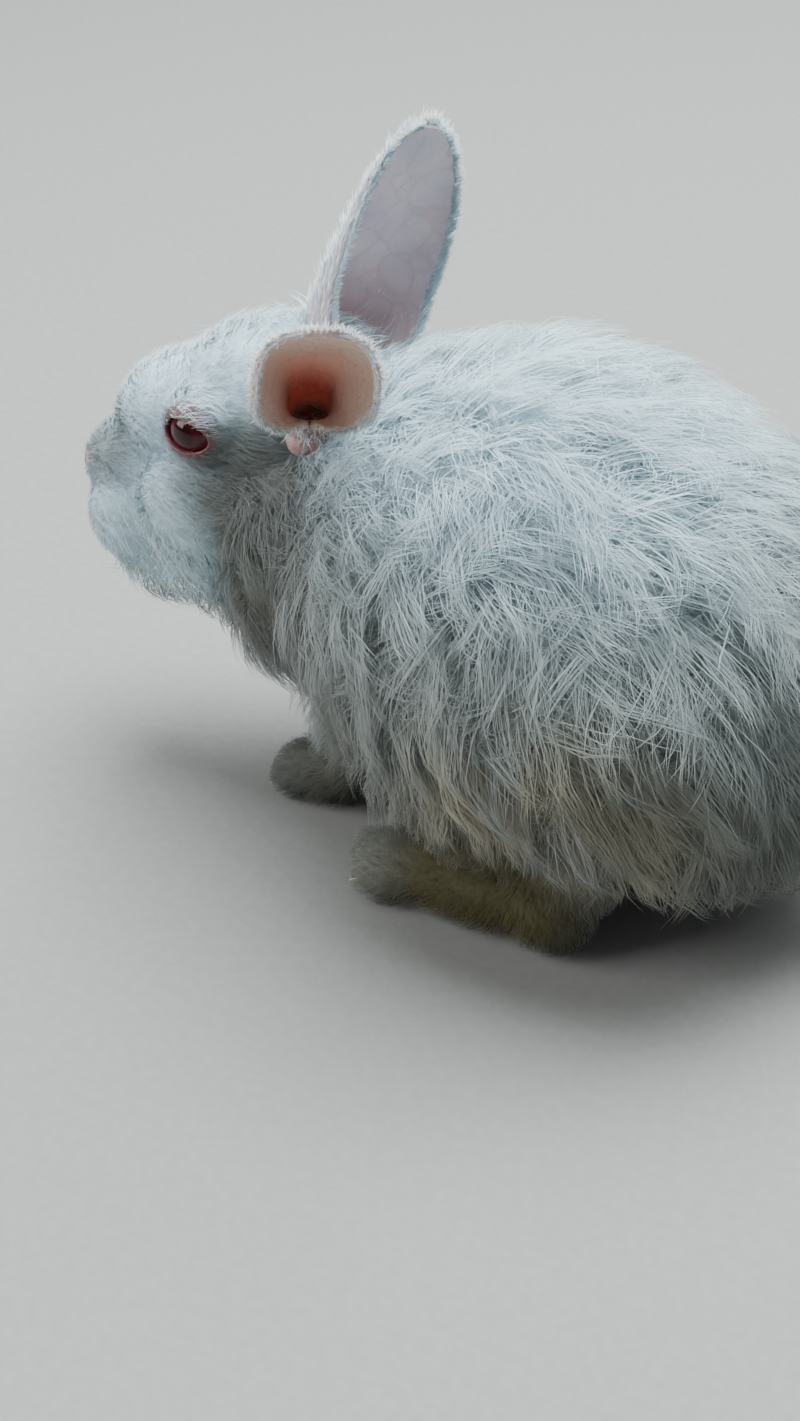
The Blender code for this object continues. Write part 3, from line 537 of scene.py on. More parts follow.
def mesh_arrays(mesh):
    """The mesh's points, its normals there, and its triangles."""
    mesh.calc_loop_triangles()
    arrays = []
    for rows, key, kind in (
        (mesh.vertices, "co", np.float32),
        (mesh.vertices, "normal", np.float32),
        (mesh.loop_triangles, "vertices", np.int32),
    ):
        values = np.empty(len(rows) * 3, kind)
        rows.foreach_get(key, values)
        arrays.append(values.reshape(-1, 3))
    points, normals, triangles = arrays
    return points.astype(float), normals.astype(float), triangles


def triangle_areas(points, triangles):
    corners = points[triangles]
    cross = np.cross(corners[:, 1] - corners[:, 0], corners[:, 2] - corners[:, 0])
    return np.linalg.norm(cross, axis=1) / 2


def sample_roots(points, normals, triangles, density):
    """Random places on the triangles, as many per area as the density says."""
    expected = triangle_areas(points, triangles) * density[triangles].mean(axis=1)
    count = np.floor(expected + rng.random(len(expected))).astype(int)
    chosen = np.repeat(np.arange(len(triangles)), count)
    a, b = rng.random(len(chosen)), rng.random(len(chosen))
    flip = a + b > 1
    a[flip], b[flip] = 1 - a[flip], 1 - b[flip]
    share = np.stack([1 - a - b, a, b], axis=1)[:, :, None]
    roots = (points[triangles[chosen]] * share).sum(axis=1)
    ways = unit((normals[triangles[chosen]] * share).sum(axis=1))
    return roots, ways


def walk_strands(roots, ways, surface, tree, lies, lengths, rises, lean, stations):
    """Paths that leave the skin, follow the lie of the coat and rise to their tips."""
    points, normals = surface
    paths = np.empty((len(roots), len(stations), 3))
    facing = np.empty_like(paths)
    place, normal = roots.copy(), ways.copy()
    done = 0.0
    for k, share in enumerate(stations):
        if k:
            flat = lies + lean
            flat = unit(flat - normal * (flat * normal).sum(axis=1, keepdims=True))
            step = place + flat * (lengths * (share - done))[:, None]
            near = np.array([tree.find(p)[1] for p in step])
            normal = unit(normal * 0.4 + normals[near] * 0.6)
            drop = ((step - points[near]) * normals[near]).sum(axis=1, keepdims=True)
            place = step - normals[near] * drop
            done = share
        height = (rises + ROOT_DEPTH) * (1 - (1 - share) ** 1.6) - ROOT_DEPTH
        paths[:, k] = place + normal * height[:, None]
        facing[:, k] = normal
    return paths, facing


def add_curl(paths, ways, amount, turns, stations):
    """Winds each path round itself, wider towards its tip."""
    along = unit(paths[:, -1] - paths[:, 0])
    across = unit(np.cross(along, ways))
    up = np.cross(across, along)
    phase = rng.random(len(paths)) * 2 * np.pi
    start = across * np.cos(phase)[:, None] + up * np.sin(phase)[:, None]
    for k, share in enumerate(stations):
        angle = phase + turns * 2 * np.pi * share
        wind = across * np.cos(angle)[:, None] + up * np.sin(angle)[:, None]
        paths[:, k] += (wind - start * (1 - share)) * (amount * share)[:, None]
    return paths


def strand_rings(paths, facing, widths, stations, form):
    """The corners of each strand's three-sided rings and its tip, and the normals that shade them."""
    count, starts = len(paths), np.array(stations[:-1])
    taper = 0.68 + 0.38 * np.sin(np.pi * np.clip(starts * 0.92 + 0.12, 0, 1))
    taper *= 1 - 0.35 * starts
    ahead = unit(np.diff(paths, axis=1))
    across = unit(np.cross(ahead, facing[:, :-1]))
    up = np.cross(across, ahead)
    roll = rng.uniform(-0.9, 0.9, count)[:, None, None]
    across, up = across * np.cos(roll) + up * np.sin(roll), up * np.cos(roll) - across * np.sin(roll)
    half = (widths[:, None] * taper / 2)[:, :, None]
    corners, shading = [], []
    for degrees in (90, 210, 330):
        turn = math.radians(degrees)
        side = across * math.cos(turn) + up * math.sin(turn)
        corners.append(paths[:, :-1] + half * (across * math.cos(turn) + up * 0.6 * math.sin(turn)))
        shading.append(unit(side * (1 - form) + facing[:, :-1] * form))
    tip_ways = unit(ahead[:, -1:] * (1 - form) + facing[:, -1:] * form)
    points, normals = [np.stack(rows, axis=2).reshape(count, -1, 3) for rows in (corners, shading)]
    return np.concatenate([points, paths[:, -1:]], axis=1), np.concatenate([normals, tip_ways], axis=1)


def strand_faces(rings):
    """The corners of one strand's faces, one face after another, and how many each face has."""
    faces = []
    for i in range(rings - 1):
        for k in range(3):
            a, b = 3 * i + k, 3 * i + (k + 1) % 3
            faces.append((a, a + 3, b + 3, b))
    faces.append((0, 1, 2))
    last, tip = 3 * (rings - 1), 3 * rings
    faces += [(last + k, tip, last + (k + 1) % 3) for k in range(3)]
    return np.array([i for face in faces for i in face]), np.array([len(face) for face in faces])


def strand_mesh(name, paths, facing, widths, tint, unwrap, stations, form):
    """Solid three-sided strands along the paths, with a small patch of the unwrap for each."""
    count, rings = len(paths), len(stations) - 1
    vertices, normals = strand_rings(paths, facing, widths, stations, form)
    per = vertices.shape[1]
    pattern, sizes = strand_faces(rings)
    loops = (pattern[None] + per * np.arange(count)[:, None]).ravel()
    totals = np.tile(sizes, count)
    mesh = bpy.data.meshes.new(name)
    mesh.vertices.add(count * per)
    mesh.vertices.foreach_set("co", vertices.ravel().astype(np.float32))
    mesh.loops.add(len(loops))
    mesh.loops.foreach_set("vertex_index", loops.astype(np.int32))
    mesh.polygons.add(len(totals))
    mesh.polygons.foreach_set("loop_start", np.concatenate([[0], np.cumsum(totals)[:-1]]).astype(np.int32))
    mesh.polygons.foreach_set("use_smooth", np.ones(len(totals), bool))
    mesh.update(calc_edges=True)
    mesh.normals_split_custom_set_from_vertices(normals.reshape(-1, 3).astype(np.float32))
    local = np.array([(0.3 + 0.35 * (i % 3), i // 3 / rings) for i in range(per - 1)] + [(0.65, 1.0)])
    patch = unwrap[:, None, :] + (local[None] - 0.5) * PATCH
    layer = mesh.uv_layers.new(name="OFBake")
    layer.data.foreach_set("uv", patch[:, pattern].ravel().astype(np.float32))
    share = np.concatenate([np.repeat(stations[:-1], 3), [1.0]])
    for key, values in (("along", np.tile(share, count)), ("tint", np.repeat(tint, per))):
        attribute = mesh.attributes.new(key, "FLOAT", "POINT")
        attribute.data.foreach_set("value", values.astype(np.float32))
    return link(bpy.data.objects.new(name, mesh))


def unwrap_roots(roots, ways):
    """A box unwrap of the skin: six tiles by the way it faces, each holding its own stretch."""
    axis = np.abs(ways).argmax(axis=1)
    facing = (ways[np.arange(len(ways)), axis] > 0).astype(int)
    low, high = roots.min(axis=0), roots.max(axis=0)
    share = (roots - low) / np.maximum(high - low, 1e-6)
    first = np.where(axis == 0, share[:, 1], share[:, 0])
    second = np.where(axis == 2, share[:, 1], share[:, 2])
    tile_x, tile_y = axis / 3, facing / 2
    return np.stack([tile_x + 0.01 + first * 0.31, tile_y + 0.01 + second * 0.48], axis=1)


def nearest_index(points):
    """A tree that finds the nearest of the points."""
    tree = KDTree(len(points))
    for i, p in enumerate(points):
        tree.insert(p, i)
    tree.balance()
    return tree


def grow_coat(skin):
    """All the fur and wool of the skin, in a few pieces."""
    points, normals, triangles = mesh_arrays(skin.data)
    surface, tree = (points, normals), nearest_index(points)
    _, values = coat_at(points)
    areas = triangle_areas(points, triangles)
    is_wool = np.clip((values[:, 0] - 14) / 3, 0, 1)
    crowding = keep_bare(points) / strand_width(values[:, 0]) / values[:, 0] ** 0.8
    crowding[points[:, 2] < SOLE_HEIGHT] = 0
    made = []
    for kind, part in (("fine", 1 - is_wool), ("fluff", is_wool), ("wool", is_wool)):
        density = crowding * part
        density *= KINDS[kind][0] / (areas * density[triangles].mean(axis=1)).sum()
        roots, ways = sample_roots(points, normals, triangles, density)
        made += grow_kind(kind, roots, ways, surface, tree)
    return made


def above_hem(roots, lengths):
    """Shorter strands near the wool's lower edge, so that the feet stay clear."""
    hem = np.interp(roots[:, 0], HEM[:, 0], HEM[:, 1])
    room = (roots[:, 2] - hem) * 0.95
    ragged = rng.uniform(3, 9, len(roots)) * MM
    return np.where(lengths > 7 * MM, np.minimum(lengths, np.maximum(room, 0) + ragged), lengths)


def billow(points):
    """A soft random push, alike over a tuft's width, that differs from tuft to tuft."""
    push = np.zeros((len(points), 3))
    for way, phase, turn in BILLOWS:
        push += np.sin(points @ way + phase)[:, None] * turn
    return push / math.sqrt(len(BILLOWS) / 2)


def strand_width(length):
    """A strand's width in millimetres for its length in millimetres."""
    return 0.18 + 0.0044 * length


def choose_guides(roots, length):
    """The strands that lead the locks, and the one that each strand follows."""
    spacing = np.maximum(0.12 * length, 1.1 * MM)
    share = np.clip(0.28 * strand_width(length / MM) * (length / MM) ** 0.8 / (spacing / MM) ** 2, 0.02, 0.5)
    guides = np.flatnonzero(rng.random(len(roots)) < share)
    finder = nearest_index(roots[guides])
    return guides, np.array([finder.find(p)[1] for p in roots])


def gather_locks(paths, roots, ways, guides, follows, length, clump, stray, stations):
    """Draws the strands of each lock towards its curled guide."""
    turns = rng.uniform(0.6, 1.2, len(guides))
    guide_paths = add_curl(paths[guides].copy(), ways[guides], length[guides] * 0.06, turns, stations)
    pull = clump * rng.uniform(0.75, 1.15, len(roots))
    pull[stray] *= 0.3
    offset = roots - roots[guides][follows]
    for k, along in enumerate(stations):
        target = guide_paths[follows, k] + offset * 0.2
        amount = (pull * along**0.9)[:, None]
        paths[:, k] += (target - paths[:, k]) * np.clip(amount, 0, 0.95)
    return paths


def grow_kind(kind, roots, ways, surface, tree):
    """Strands of one kind, in locks that follow guides among them, with a few strays."""
    _, scales, more_wild, strand_lean, tuft_lean, curl_share, stations = KINDS[kind]
    lies, values = coat_at(roots)
    length, rise, clump, wild = (values * scales * (MM, MM, 1, 1)).T
    wild = wild + more_wild
    count = len(roots)
    guides, follows = choose_guides(roots, length)

    lock_lean = rng.normal(0, 1, (len(guides), 3)) * wild[guides][:, None] * 0.7
    lock_length = rng.uniform(0.8, 1.14, len(guides))
    lock_rise = rng.uniform(0.8, 1.14, len(guides))
    tuft = billow(roots)
    lean = lock_lean[follows] + rng.normal(0, 1, (count, 3)) * wild[:, None] * strand_lean
    lean += tuft * tuft_lean
    own_length = length * lock_length[follows] * rng.uniform(0.82, 1.06, count)
    own_rise = rise * lock_rise[follows] * rng.uniform(0.85, 1.05, count)
    stray = rng.random(count) < STRAY_SHARE
    own_rise[stray] *= 1.2
    own_length = above_hem(roots, own_length)
    own_rise = np.minimum(own_rise, own_length * 0.7)
    paths, facing = walk_strands(roots, ways, surface, tree, lies, own_length, own_rise, lean, stations)
    if kind != "fine":
        facing = unit(facing + tuft[:, None] * 0.35)
    paths = gather_locks(paths, roots, ways, guides, follows, length, clump, stray, stations)
    curl = np.minimum(length * 0.04, 1.3 * MM) * curl_share
    paths = add_curl(paths, ways, curl, rng.uniform(0.7, 1.5, count), stations)
    paths[:, :, 2] = np.maximum(paths[:, :, 2], FLOOR_GAP)

    widths = strand_width(length / MM) * MM * rng.uniform(0.7, 1.25, count)
    lock_tint = rng.normal(0, 1, len(guides))[follows] * 0.15
    tint = np.clip(0.5 + lock_tint + rng.normal(0, 0.08, count), 0, 1)
    made = []
    for name, chosen in coat_parts(kind, roots).items():
        unwrap = unwrap_roots(roots[chosen], ways[chosen])
        strands = (paths[chosen], facing[chosen], widths[chosen], tint[chosen], unwrap)
        made.append(strand_mesh(name, *strands, stations, FORM_SHADING))
    return made


def coat_parts(kind, roots):
    """Splits the roots into pieces by place, so that none grows too large."""
    left = roots[:, 1] < 0
    if kind == "fine":
        to_head = np.linalg.inv(np.array(HEAD_FRAME))
        local = roots @ to_head[:3, :3].T + to_head[:3, 3]
        face = (local[:, 0] < FACE_LENGTH) & (roots[:, 2] > FACE_HEIGHT)
        splits = (("face", face, local[:, 1] < 0), ("feet", ~face, left))
        return {
            f"coat_{name}_{side}": part & half
            for name, part, first in splits
            for side, half in (("left", first), ("right", ~first))
        }
    parts = {}
    for name, side in (("left", left), ("right", ~left)):
        middle = np.median(roots[side, 0])
        parts[f"coat_{kind}_{name}_front"] = side & (roots[:, 0] < middle)
        parts[f"coat_{kind}_{name}_back"] = side & (roots[:, 0] >= middle)
    return parts


def keep_bare(points):
    """No fur grows on the eyes, lid edges, lips and nostrils, and inside the tubes of the ears."""
    clear = np.ones(len(points))
    bare = [(place, 1.9) for line in mouth_lines() for place in line]
    for side, sign in SIDES.items():
        centre = HEAD_FRAME @ eye_centre(side)
        _, turn = eye_turn(side)
        local = (points - np.array(centre)) @ np.array(HEAD_FRAME.to_3x3() @ turn.to_3x3())
        wide, _, high = EYE_OPENING
        ring = (local[:, 0] / (wide + 0.1 * MM)) ** 2 + ((local[:, 2] + 0.5 * MM) / (high + 0.1 * MM)) ** 2
        near = (local[:, 1] > 0) & (local[:, 1] < EYE_RADIUS + 4 * MM)
        clear[near & (ring < 1)] = 0
        bare.append((ear_row(side, 0.06, [0])[1], 7))
        bare.append((HEAD_FRAME @ (mirrored(NOSTRIL, sign) * MM), 2.6))
    for place, radius in bare:
        clear[np.linalg.norm(points - np.array(place), axis=1) < radius * MM] = 0
    return clear


def ear_roots(side, kind):
    """Where along and across the ear each hair stands."""
    count = len(kind)
    medial = -1 if side == "right" else 1
    tube = 0.3 if side == "left" else 0.06
    share = rng.uniform(np.where(kind > 1, tube, 0.06), 0.995, count)
    outer = rng.random(count) < (0.25 if side == "right" else 0.5)
    edge = np.where(outer, -medial, medial)
    evenly = rng.choice([-1, 1], count)
    across = np.where(kind < 2, rng.uniform(-0.97, 0.97, count), evenly * 0.99)
    band = np.interp(share, [0, 0.3, 0.7, 0.95], [0.9, 0.8, 0.5, 0.12]) if side == "right" else 0.12
    wide = np.where(outer, 0.12, band) * rng.random(count)
    return share, np.where(kind == 3, edge * (0.99 - wide), across)


def ear_surface(side, kind, share, across):
    """Each hair's place, the way its skin faces, and the way out past the ear's margin."""
    places, ways, outward = [], [], []
    for t, u, k in zip(share, across, kind):
        inset = (-1, 1, 0, 1)[k] * EAR_THICKNESS / 2
        row, centre = ear_row(side, t, [u, u - 0.02 * np.sign(u)], inset)
        here, inner = np.array(row[0]), np.array(row[1])
        out = here - np.array(centre)
        out = out / max(np.linalg.norm(out), 1e-9)
        places.append(here)
        ways.append(-out if k in (1, 3) else out)
        outward.append(here - inner)
    return np.array(places), np.array(ways), unit(np.array(outward))


def ear_coat(side):
    """Short fur on the ear's back, fine hair inside, a fringe on its margins, and a band within them."""
    axis = np.array(EAR_AXES[side].normalized())
    amounts = {"left": (3600, 200, 700, 150), "right": (3600, 200, 1500, 3000)}[side]
    kind = np.repeat(np.arange(len(amounts)), amounts)
    count = len(kind)
    share, across = ear_roots(side, kind)
    places, ways, outward = ear_surface(side, kind, share, across)
    length = np.array([5.0, 3.5, 3.2, 3.4])[kind] * MM
    length *= rng.uniform(0.75, 1.2, count) * np.interp(share, [0, 0.2, 1], [1.7, 1.1, 0.85])
    rise = length * np.array([0.25, 0.2, 0.12, 0.2])[kind]
    spread = np.array([0.0, 0.0, 0.7, 0.55])[kind][:, None]
    flat = unit(axis + outward * spread + rng.normal(0, 0.15, (count, 3)))
    steps = [flat * (length * t)[:, None] + ways * (rise * t - 0.3 * MM)[:, None] for t in SHORT_STATIONS]
    paths = places[:, None] + np.stack(steps, axis=1)
    margin = unit(outward * 0.6 + axis * 0.3 + np.array((0, -0.2, 0.6)))
    facing = np.where((kind > 0)[:, None], margin, ways)
    facing = np.repeat(facing[:, None], len(SHORT_STATIONS), axis=1)
    widths = np.array([0.36, 0.2, 0.32, 0.28])[kind] * MM * rng.uniform(0.8, 1.2, count)
    tint = rng.random(count)
    strands = (paths, facing, widths, tint, unwrap_roots(places, ways))
    return strand_mesh(f"coat_ear_{side}", *strands, SHORT_STATIONS, EAR_FORM_SHADING)


# Eyes, claws and whiskers


def build_eye(side):
    centre = eye_centre(side)
    _, turn = eye_turn(side)
    radius = EYE_RADIUS / MM
    eye = ellipsoid(f"eyeball_{side}", (0, 0, 0), [radius] * 3, None, None, 64)
    # the clear front bulges a little, about the way the eye looks (+Y before it is turned)
    for vertex in eye.data.vertices:
        ahead = max(0.0, vertex.co.normalized().y - 0.72) / 0.28
        vertex.co *= 1 + 0.035 * math.sin(ahead * math.pi / 2)
    eye.data.transform(HEAD_FRAME @ Matrix.Translation(centre) @ turn)
    eye.data.shade_smooth()
    return eye


def build_claws():
    """Four short curved claws on each foot."""
    made = []
    for sign in SIDES.values():
        y = HIND_FOOT_Y * sign
        x, paw_y, z = mirrored(FORE_PAW, sign)
        for back, aside in TOES:
            made.append((Vector((TOE_X + 1.5 + back, y + aside, 4.2)) * MM, 1.15))
            made.append((Vector((x - 14.5 + back, paw_y + aside * PAW_SPREAD, z - 5.4)) * MM, 0.9))
    whole = bmesh.new()
    for tip_of_toe, size in made:
        rings, around = 7, 10
        rows = []
        for i in range(rings):
            t = i / (rings - 1)
            centre = tip_of_toe + Vector((2.5 - 6.2 * t, 0, 0.6 - 2.6 * t * t)) * MM * size
            radius = 1.5 * MM * size * (1 - t) ** 0.6 + 0.06 * MM
            rows.append([
                centre + Vector((0, math.cos(a) * radius * 0.8, math.sin(a) * radius))
                for a in np.linspace(0, 2 * np.pi, around, endpoint=False)
            ])
        mesh = grid_mesh("claw", rows, closed=True)
        whole.from_mesh(mesh)
        bpy.data.meshes.remove(mesh)
    mesh = bpy.data.meshes.new("claws")
    whole.to_mesh(mesh)
    whole.free()
    claws = mend(link(bpy.data.objects.new("claws", mesh)), fill=True)
    claws.data.shade_smooth()
    return claws


def build_whiskers():
    """Long fine whiskers in rows on each pad, and a few over each eye."""
    roots = [(8 + 4.2 * (i % 4), 12.5, -5 - 3.2 * (i // 4), 30 + 6 * (i % 4)) for i in range(8)]
    roots += [(46, 20, 24, 22), (50, 20, 25, 18)]
    stations = [k / 6 for k in range(7)]
    lines = []
    for x, y, z, length in roots:
        for sign in SIDES.values():
            length_here = length * rng.uniform(0.85, 1.1)
            way = Vector((0.55 + rng.normal(0, 0.08), sign, -0.12 + rng.normal(0, 0.12))).normalized()
            if z > 0:
                way = Vector((0.7, 0.6 * sign, 0.6)).normalized()
            line = []
            for t in stations:
                droop = Vector((0.25 * t, 0, -0.22 * t)) * length_here * t
                line.append(HEAD_FRAME @ ((Vector((x, y * sign, z)) + way * length_here * t + droop) * MM))
            lines.append(line)
    whiskers = tubes("whiskers", lines, 1, 1, [WHISKER_RADIUS * (1 - 0.8 * t) for t in stations])
    whiskers.data.shade_smooth()
    return whiskers


# Materials


class Nodes:
    """Short ways to add shader nodes to one material."""

    def __init__(self, name):
        self.material = bpy.data.materials.new(name)
        self.material.use_nodes = True
        self.tree = self.material.node_tree
        self.shader = self.tree.nodes["Principled BSDF"]
        self.place = self.add("ShaderNodeTexCoord", {}, "Object")

    def feed(self, value, socket):
        """Joins an output to the socket, or sets the socket to a plain value."""
        if isinstance(value, bpy.types.NodeSocket):
            self.tree.links.new(value, socket)
        else:
            socket.default_value = value

    def add(self, kind, inputs, output, **settings):
        """Adds a node, feeds its inputs and gives one of its outputs."""
        node = self.tree.nodes.new(kind)
        for key, value in settings.items():
            setattr(node, key, value)
        for key, value in inputs.items():
            self.feed(value, node.inputs[key])
        return node.outputs[output]

    def raw_noise(self, scale, detail):
        inputs = {"Vector": self.place, "Scale": scale, "Detail": detail}
        return self.add("ShaderNodeTexNoise", inputs, "Fac")

    def noise(self, scale, detail=3.0, low=0.35, high=0.65):
        return self.spread(self.raw_noise(scale, detail), low, high)

    def spread(self, value, low, high, to_low=0.0, to_high=1.0):
        """The value eased from one range into another."""
        inputs = {"Value": value, "From Min": low, "From Max": high, "To Min": to_low, "To Max": to_high}
        return self.add("ShaderNodeMapRange", inputs, "Result", interpolation_type="SMOOTHSTEP")

    def near(self, centre, inner, outer, stretch=(1, 1, 1)):
        """1 within the inner distance of the place, 0 past the outer, in millimetres."""
        away = self.place
        for operation, other in (("SUBTRACT", Vector(centre) * MM), ("MULTIPLY", stretch)):
            away = self.add("ShaderNodeVectorMath", {0: away, 1: other}, 0, operation=operation)
        distance = self.add("ShaderNodeVectorMath", {0: away}, "Value", operation="LENGTH")
        return self.spread(distance, inner * MM, outer * MM, 1, 0)

    def axis(self, letter):
        return self.add("ShaderNodeSeparateXYZ", {0: self.place}, letter)

    def attribute(self, name):
        return self.add("ShaderNodeAttribute", {}, "Fac", attribute_name=name)

    def times(self, a, b):
        return self.add("ShaderNodeMath", {0: a, 1: b}, 0, operation="MULTIPLY")

    def blend(self, under, over, share):
        """The colour over laid on the colour under, by the share."""
        under, over = [(*tone, 1) if isinstance(tone, tuple) else tone for tone in (under, over)]
        return self.add("ShaderNodeMix", {0: share, 6: under, 7: over}, 2, data_type="RGBA")

    def mark(self, under, over, centre, inner, outer, strength=1.0, stretch=(1, 1, 1)):
        """The colour over laid on the colour under in a soft round spot."""
        return self.blend(under, over, self.times(self.near(centre, inner, outer, stretch), strength))

    def bump(self, height, strength, distance):
        inputs = {"Height": height, "Strength": strength, "Distance": distance}
        self.feed(self.add("ShaderNodeBump", inputs, "Normal"), self.shader.inputs["Normal"])

    def finish(self, colour, **values):
        """The material, with that colour and those values of its shader."""
        for key, value in {"Base_Color": colour, **values}.items():
            self.feed(value, self.shader.inputs[key.replace("_", " ")])
        return self.material


# The whites' blue tint is painted cool skylight. SHADE_WHITE, where it sits at the strands' roots, is painted
# shade among the strands.
WHITE = (0.67, 0.86, 0.96)
SHADE_WHITE = (0.62, 0.79, 0.89)
TIP_WHITE = (0.72, 0.91, 0.99)
SHADED = (0.37, 0.395, 0.375)
GREY = (0.17, 0.17, 0.148)
TAN = (0.38, 0.34, 0.25)
STAIN = (0.09, 0.077, 0.035)
# Soft round spots on both sides: colour, place, inner and outer radius, strength, stretch
FEET_DIRT_AND_SHADE = [
    # The toes and fore paws are darker partly from dirt and partly as painted shade under the body.
    ((0.17, 0.175, 0.15), (10, 46, 8), 8, 22, 0.85),  # toes
    ((0.085, 0.08, 0.06), (-30, 21, 8), 16, 32, 0.95),  # fore paw
]
HEAD_SHADE_AND_HIGHLIGHT = [
    # The whisker pad is lightened with TIP_WHITE as a painted highlight; the side of the snout, round the eye
    # and behind the eye are darkened as painted shade.
    (TIP_WHITE, (26, 20, -20), 12, 30),  # whisker pad
    ((0.26, 0.30, 0.31), (12, 11, 8), 4, 17, 0.85),  # side of the snout
    ((0.34, 0.32, 0.33), (47, 19, 14), 8, 13, 0.6),  # round the eye
    ((0.20, 0.205, 0.19), (66, 25, 7), 8, 21, 0.8, (1, 1, 1.3)),  # behind the eye
]
# The same on the ears: colour, ear, share of its length, inner and outer radius, strength
EAR_SPOTS = [
    ((0.70, 0.54, 0.47), "left", 0.55, 32, 44, 1),  # peach cup
    ((0.68, 0.41, 0.36), "left", 0.14, 4, 18, 0.85),  # round the canal
    ((0.50, 0.17, 0.15), "left", 0.14, 2, 8, 0.9),  # canal
    ((0.62, 0.27, 0.24), "left", 0.02, 5, 13, 0.8),  # foot of the stem
    ((0.62, 0.44, 0.44), "right", 0.14, 8, 30, 0.6),  # root of the far ear
]


def shared(point):
    """A place in the body's own frame, in millimetres, moved to the shared frame."""
    return Vector(point) - FOOTPRINT_CENTRE / MM


def head_place(point):
    return shared((HEAD_FRAME @ (Vector(point) * MM)) / MM)


def ear_middle(side, t):
    """The middle of the ear's cup at that share of its length, in the shared frame."""
    _, centre = ear_row(side, t, [0])
    return shared(centre / MM)


def stains_and_painted_light(nodes, colour):
    """The stains, painted shade and painted highlight that skin and coat share."""
    cloudy = nodes.noise(38)
    body = nodes.spread(nodes.axis("X"), -0.055, -0.03)
    # Darker towards the bottom of the body: SHADED and GREY here are painted shade mixed with stains.
    for tone, low, high, strength in ((SHADED, 0.088, 0.14, 0.9), (GREY, 0.04, 0.1, 0.85)):
        lower = nodes.times(nodes.spread(nodes.axis("Z"), low, high, 1, 0), body)
        colour = nodes.blend(colour, tone, nodes.times(lower, strength))
    # Painted shade on the throat and the front of the neck.
    colour = nodes.mark(colour, GREY, shared((-36, -30, 84)), 18, 44, 0.9)
    colour = nodes.mark(colour, GREY, shared((-46, -12, 56)), 28, 52, 0.9)
    for side in SIDES.values():
        haunch = nodes.near(shared((72, 70 * side, 52)), 20, 58, (1, 1, 1.2))
        colour = nodes.blend(colour, TAN, nodes.times(nodes.times(haunch, cloudy), 0.9))
        foot = nodes.near(shared((42, 50 * side, 14)), 16, 30, (0.7, 1, 1))
        colour = nodes.blend(colour, STAIN, nodes.times(foot, nodes.noise(90, 3, 0.0, 0.45)))
        for spots, placed in ((FEET_DIRT_AND_SHADE, shared), (HEAD_SHADE_AND_HIGHLIGHT, head_place)):
            for tone, place, *shape in spots:
                colour = nodes.mark(colour, tone, placed(mirrored(place, side)), *shape)
    # Painted shade in the crease of the mouth.
    colour = nodes.mark(colour, (0.36, 0.33, 0.33), head_place((4, 0, -14)), 3, 9, 0.6, (1, 0.7, 1.3))
    # The snout greyed as painted shade mixed with dirt.
    return nodes.mark(colour, (0.27, 0.305, 0.32), head_place((3, 0, 3)), 5, 17, 0.85)


def coat_material(name, roughness, depth, glow=0.0, stained_and_shaded=True):
    """Wool: darker at its roots as painted shade among the strands, paler to its tips, each lock a little
    different.
    """
    nodes = Nodes(name)
    colour = nodes.blend(SHADE_WHITE, WHITE, nodes.spread(nodes.attribute("along"), 0.0, depth))
    colour = nodes.blend(colour, TIP_WHITE, nodes.times(nodes.attribute("tint"), 0.6))
    if stained_and_shaded:
        colour = stains_and_painted_light(nodes, colour)
    return nodes.finish(
        colour, Roughness=roughness, Specular_IOR_Level=0.25, Sheen_Weight=0.25, Sheen_Roughness=0.4,
        Subsurface_Weight=glow, Subsurface_Scale=0.004,
    )


def skin_material():
    """The skin under the fur, with the bare skin of the nostrils, the near ear's tube and the lids; round
    each eye it is darkened as painted shade.
    """
    nodes = Nodes("skin_and_fur")
    colour = stains_and_painted_light(nodes, nodes.blend(SHADE_WHITE, WHITE, nodes.noise(160, 4)))
    for side in SIDES.values():
        colour = nodes.mark(colour, (0.66, 0.36, 0.35), head_place((0.6, 3.4 * side, 0.6)), 1.2, 4.2, 0.75)
    colour = nodes.mark(colour, (0.70, 0.20, 0.16), ear_middle("left", 0.14), 9, 13)
    colour = nodes.mark(colour, (0.72, 0.15, 0.12), ear_middle("left", 0.03), 6, 8)
    # A dark ring round each eye, painted shade.
    for side in SIDES:
        look, _ = eye_turn(side)
        front = head_place((eye_centre(side) + look * 4 * MM) / MM)
        colour = nodes.mark(colour, (0.20, 0.11, 0.11), front, 7.5, 10)
    nodes.bump(nodes.raw_noise(900, 4), 0.5, 0.0006)
    return nodes.finish(colour, Roughness=0.75, Specular_IOR_Level=0.3)


def ear_material():
    """Thin skin: lilac or peach inside, redder at the root, with fine veins."""
    nodes = Nodes("ear_skin")
    colour = nodes.blend((0.52, 0.47, 0.52), (0.60, 0.53, 0.57), nodes.noise(120, 4))
    for tone, side, t, *shape in EAR_SPOTS:
        colour = nodes.mark(colour, tone, ear_middle(side, t), *shape)
    inputs = {"Vector": nodes.place, "Scale": 95}
    cells = nodes.add("ShaderNodeTexVoronoi", inputs, "Distance", feature="DISTANCE_TO_EDGE")
    veins = nodes.spread(cells, 0.0, 0.09, 1, 0)
    colour = nodes.blend(colour, (0.42, 0.17, 0.18), nodes.times(veins, 0.16))
    nodes.bump(nodes.noise(420, 4, 0.2, 0.8), 0.3, 0.0004)
    return nodes.finish(
        colour, Roughness=0.55, Specular_IOR_Level=0.35, Subsurface_Weight=0.3, Subsurface_Scale=0.005,
        Subsurface_Radius=(1.0, 0.6, 0.5),
    )


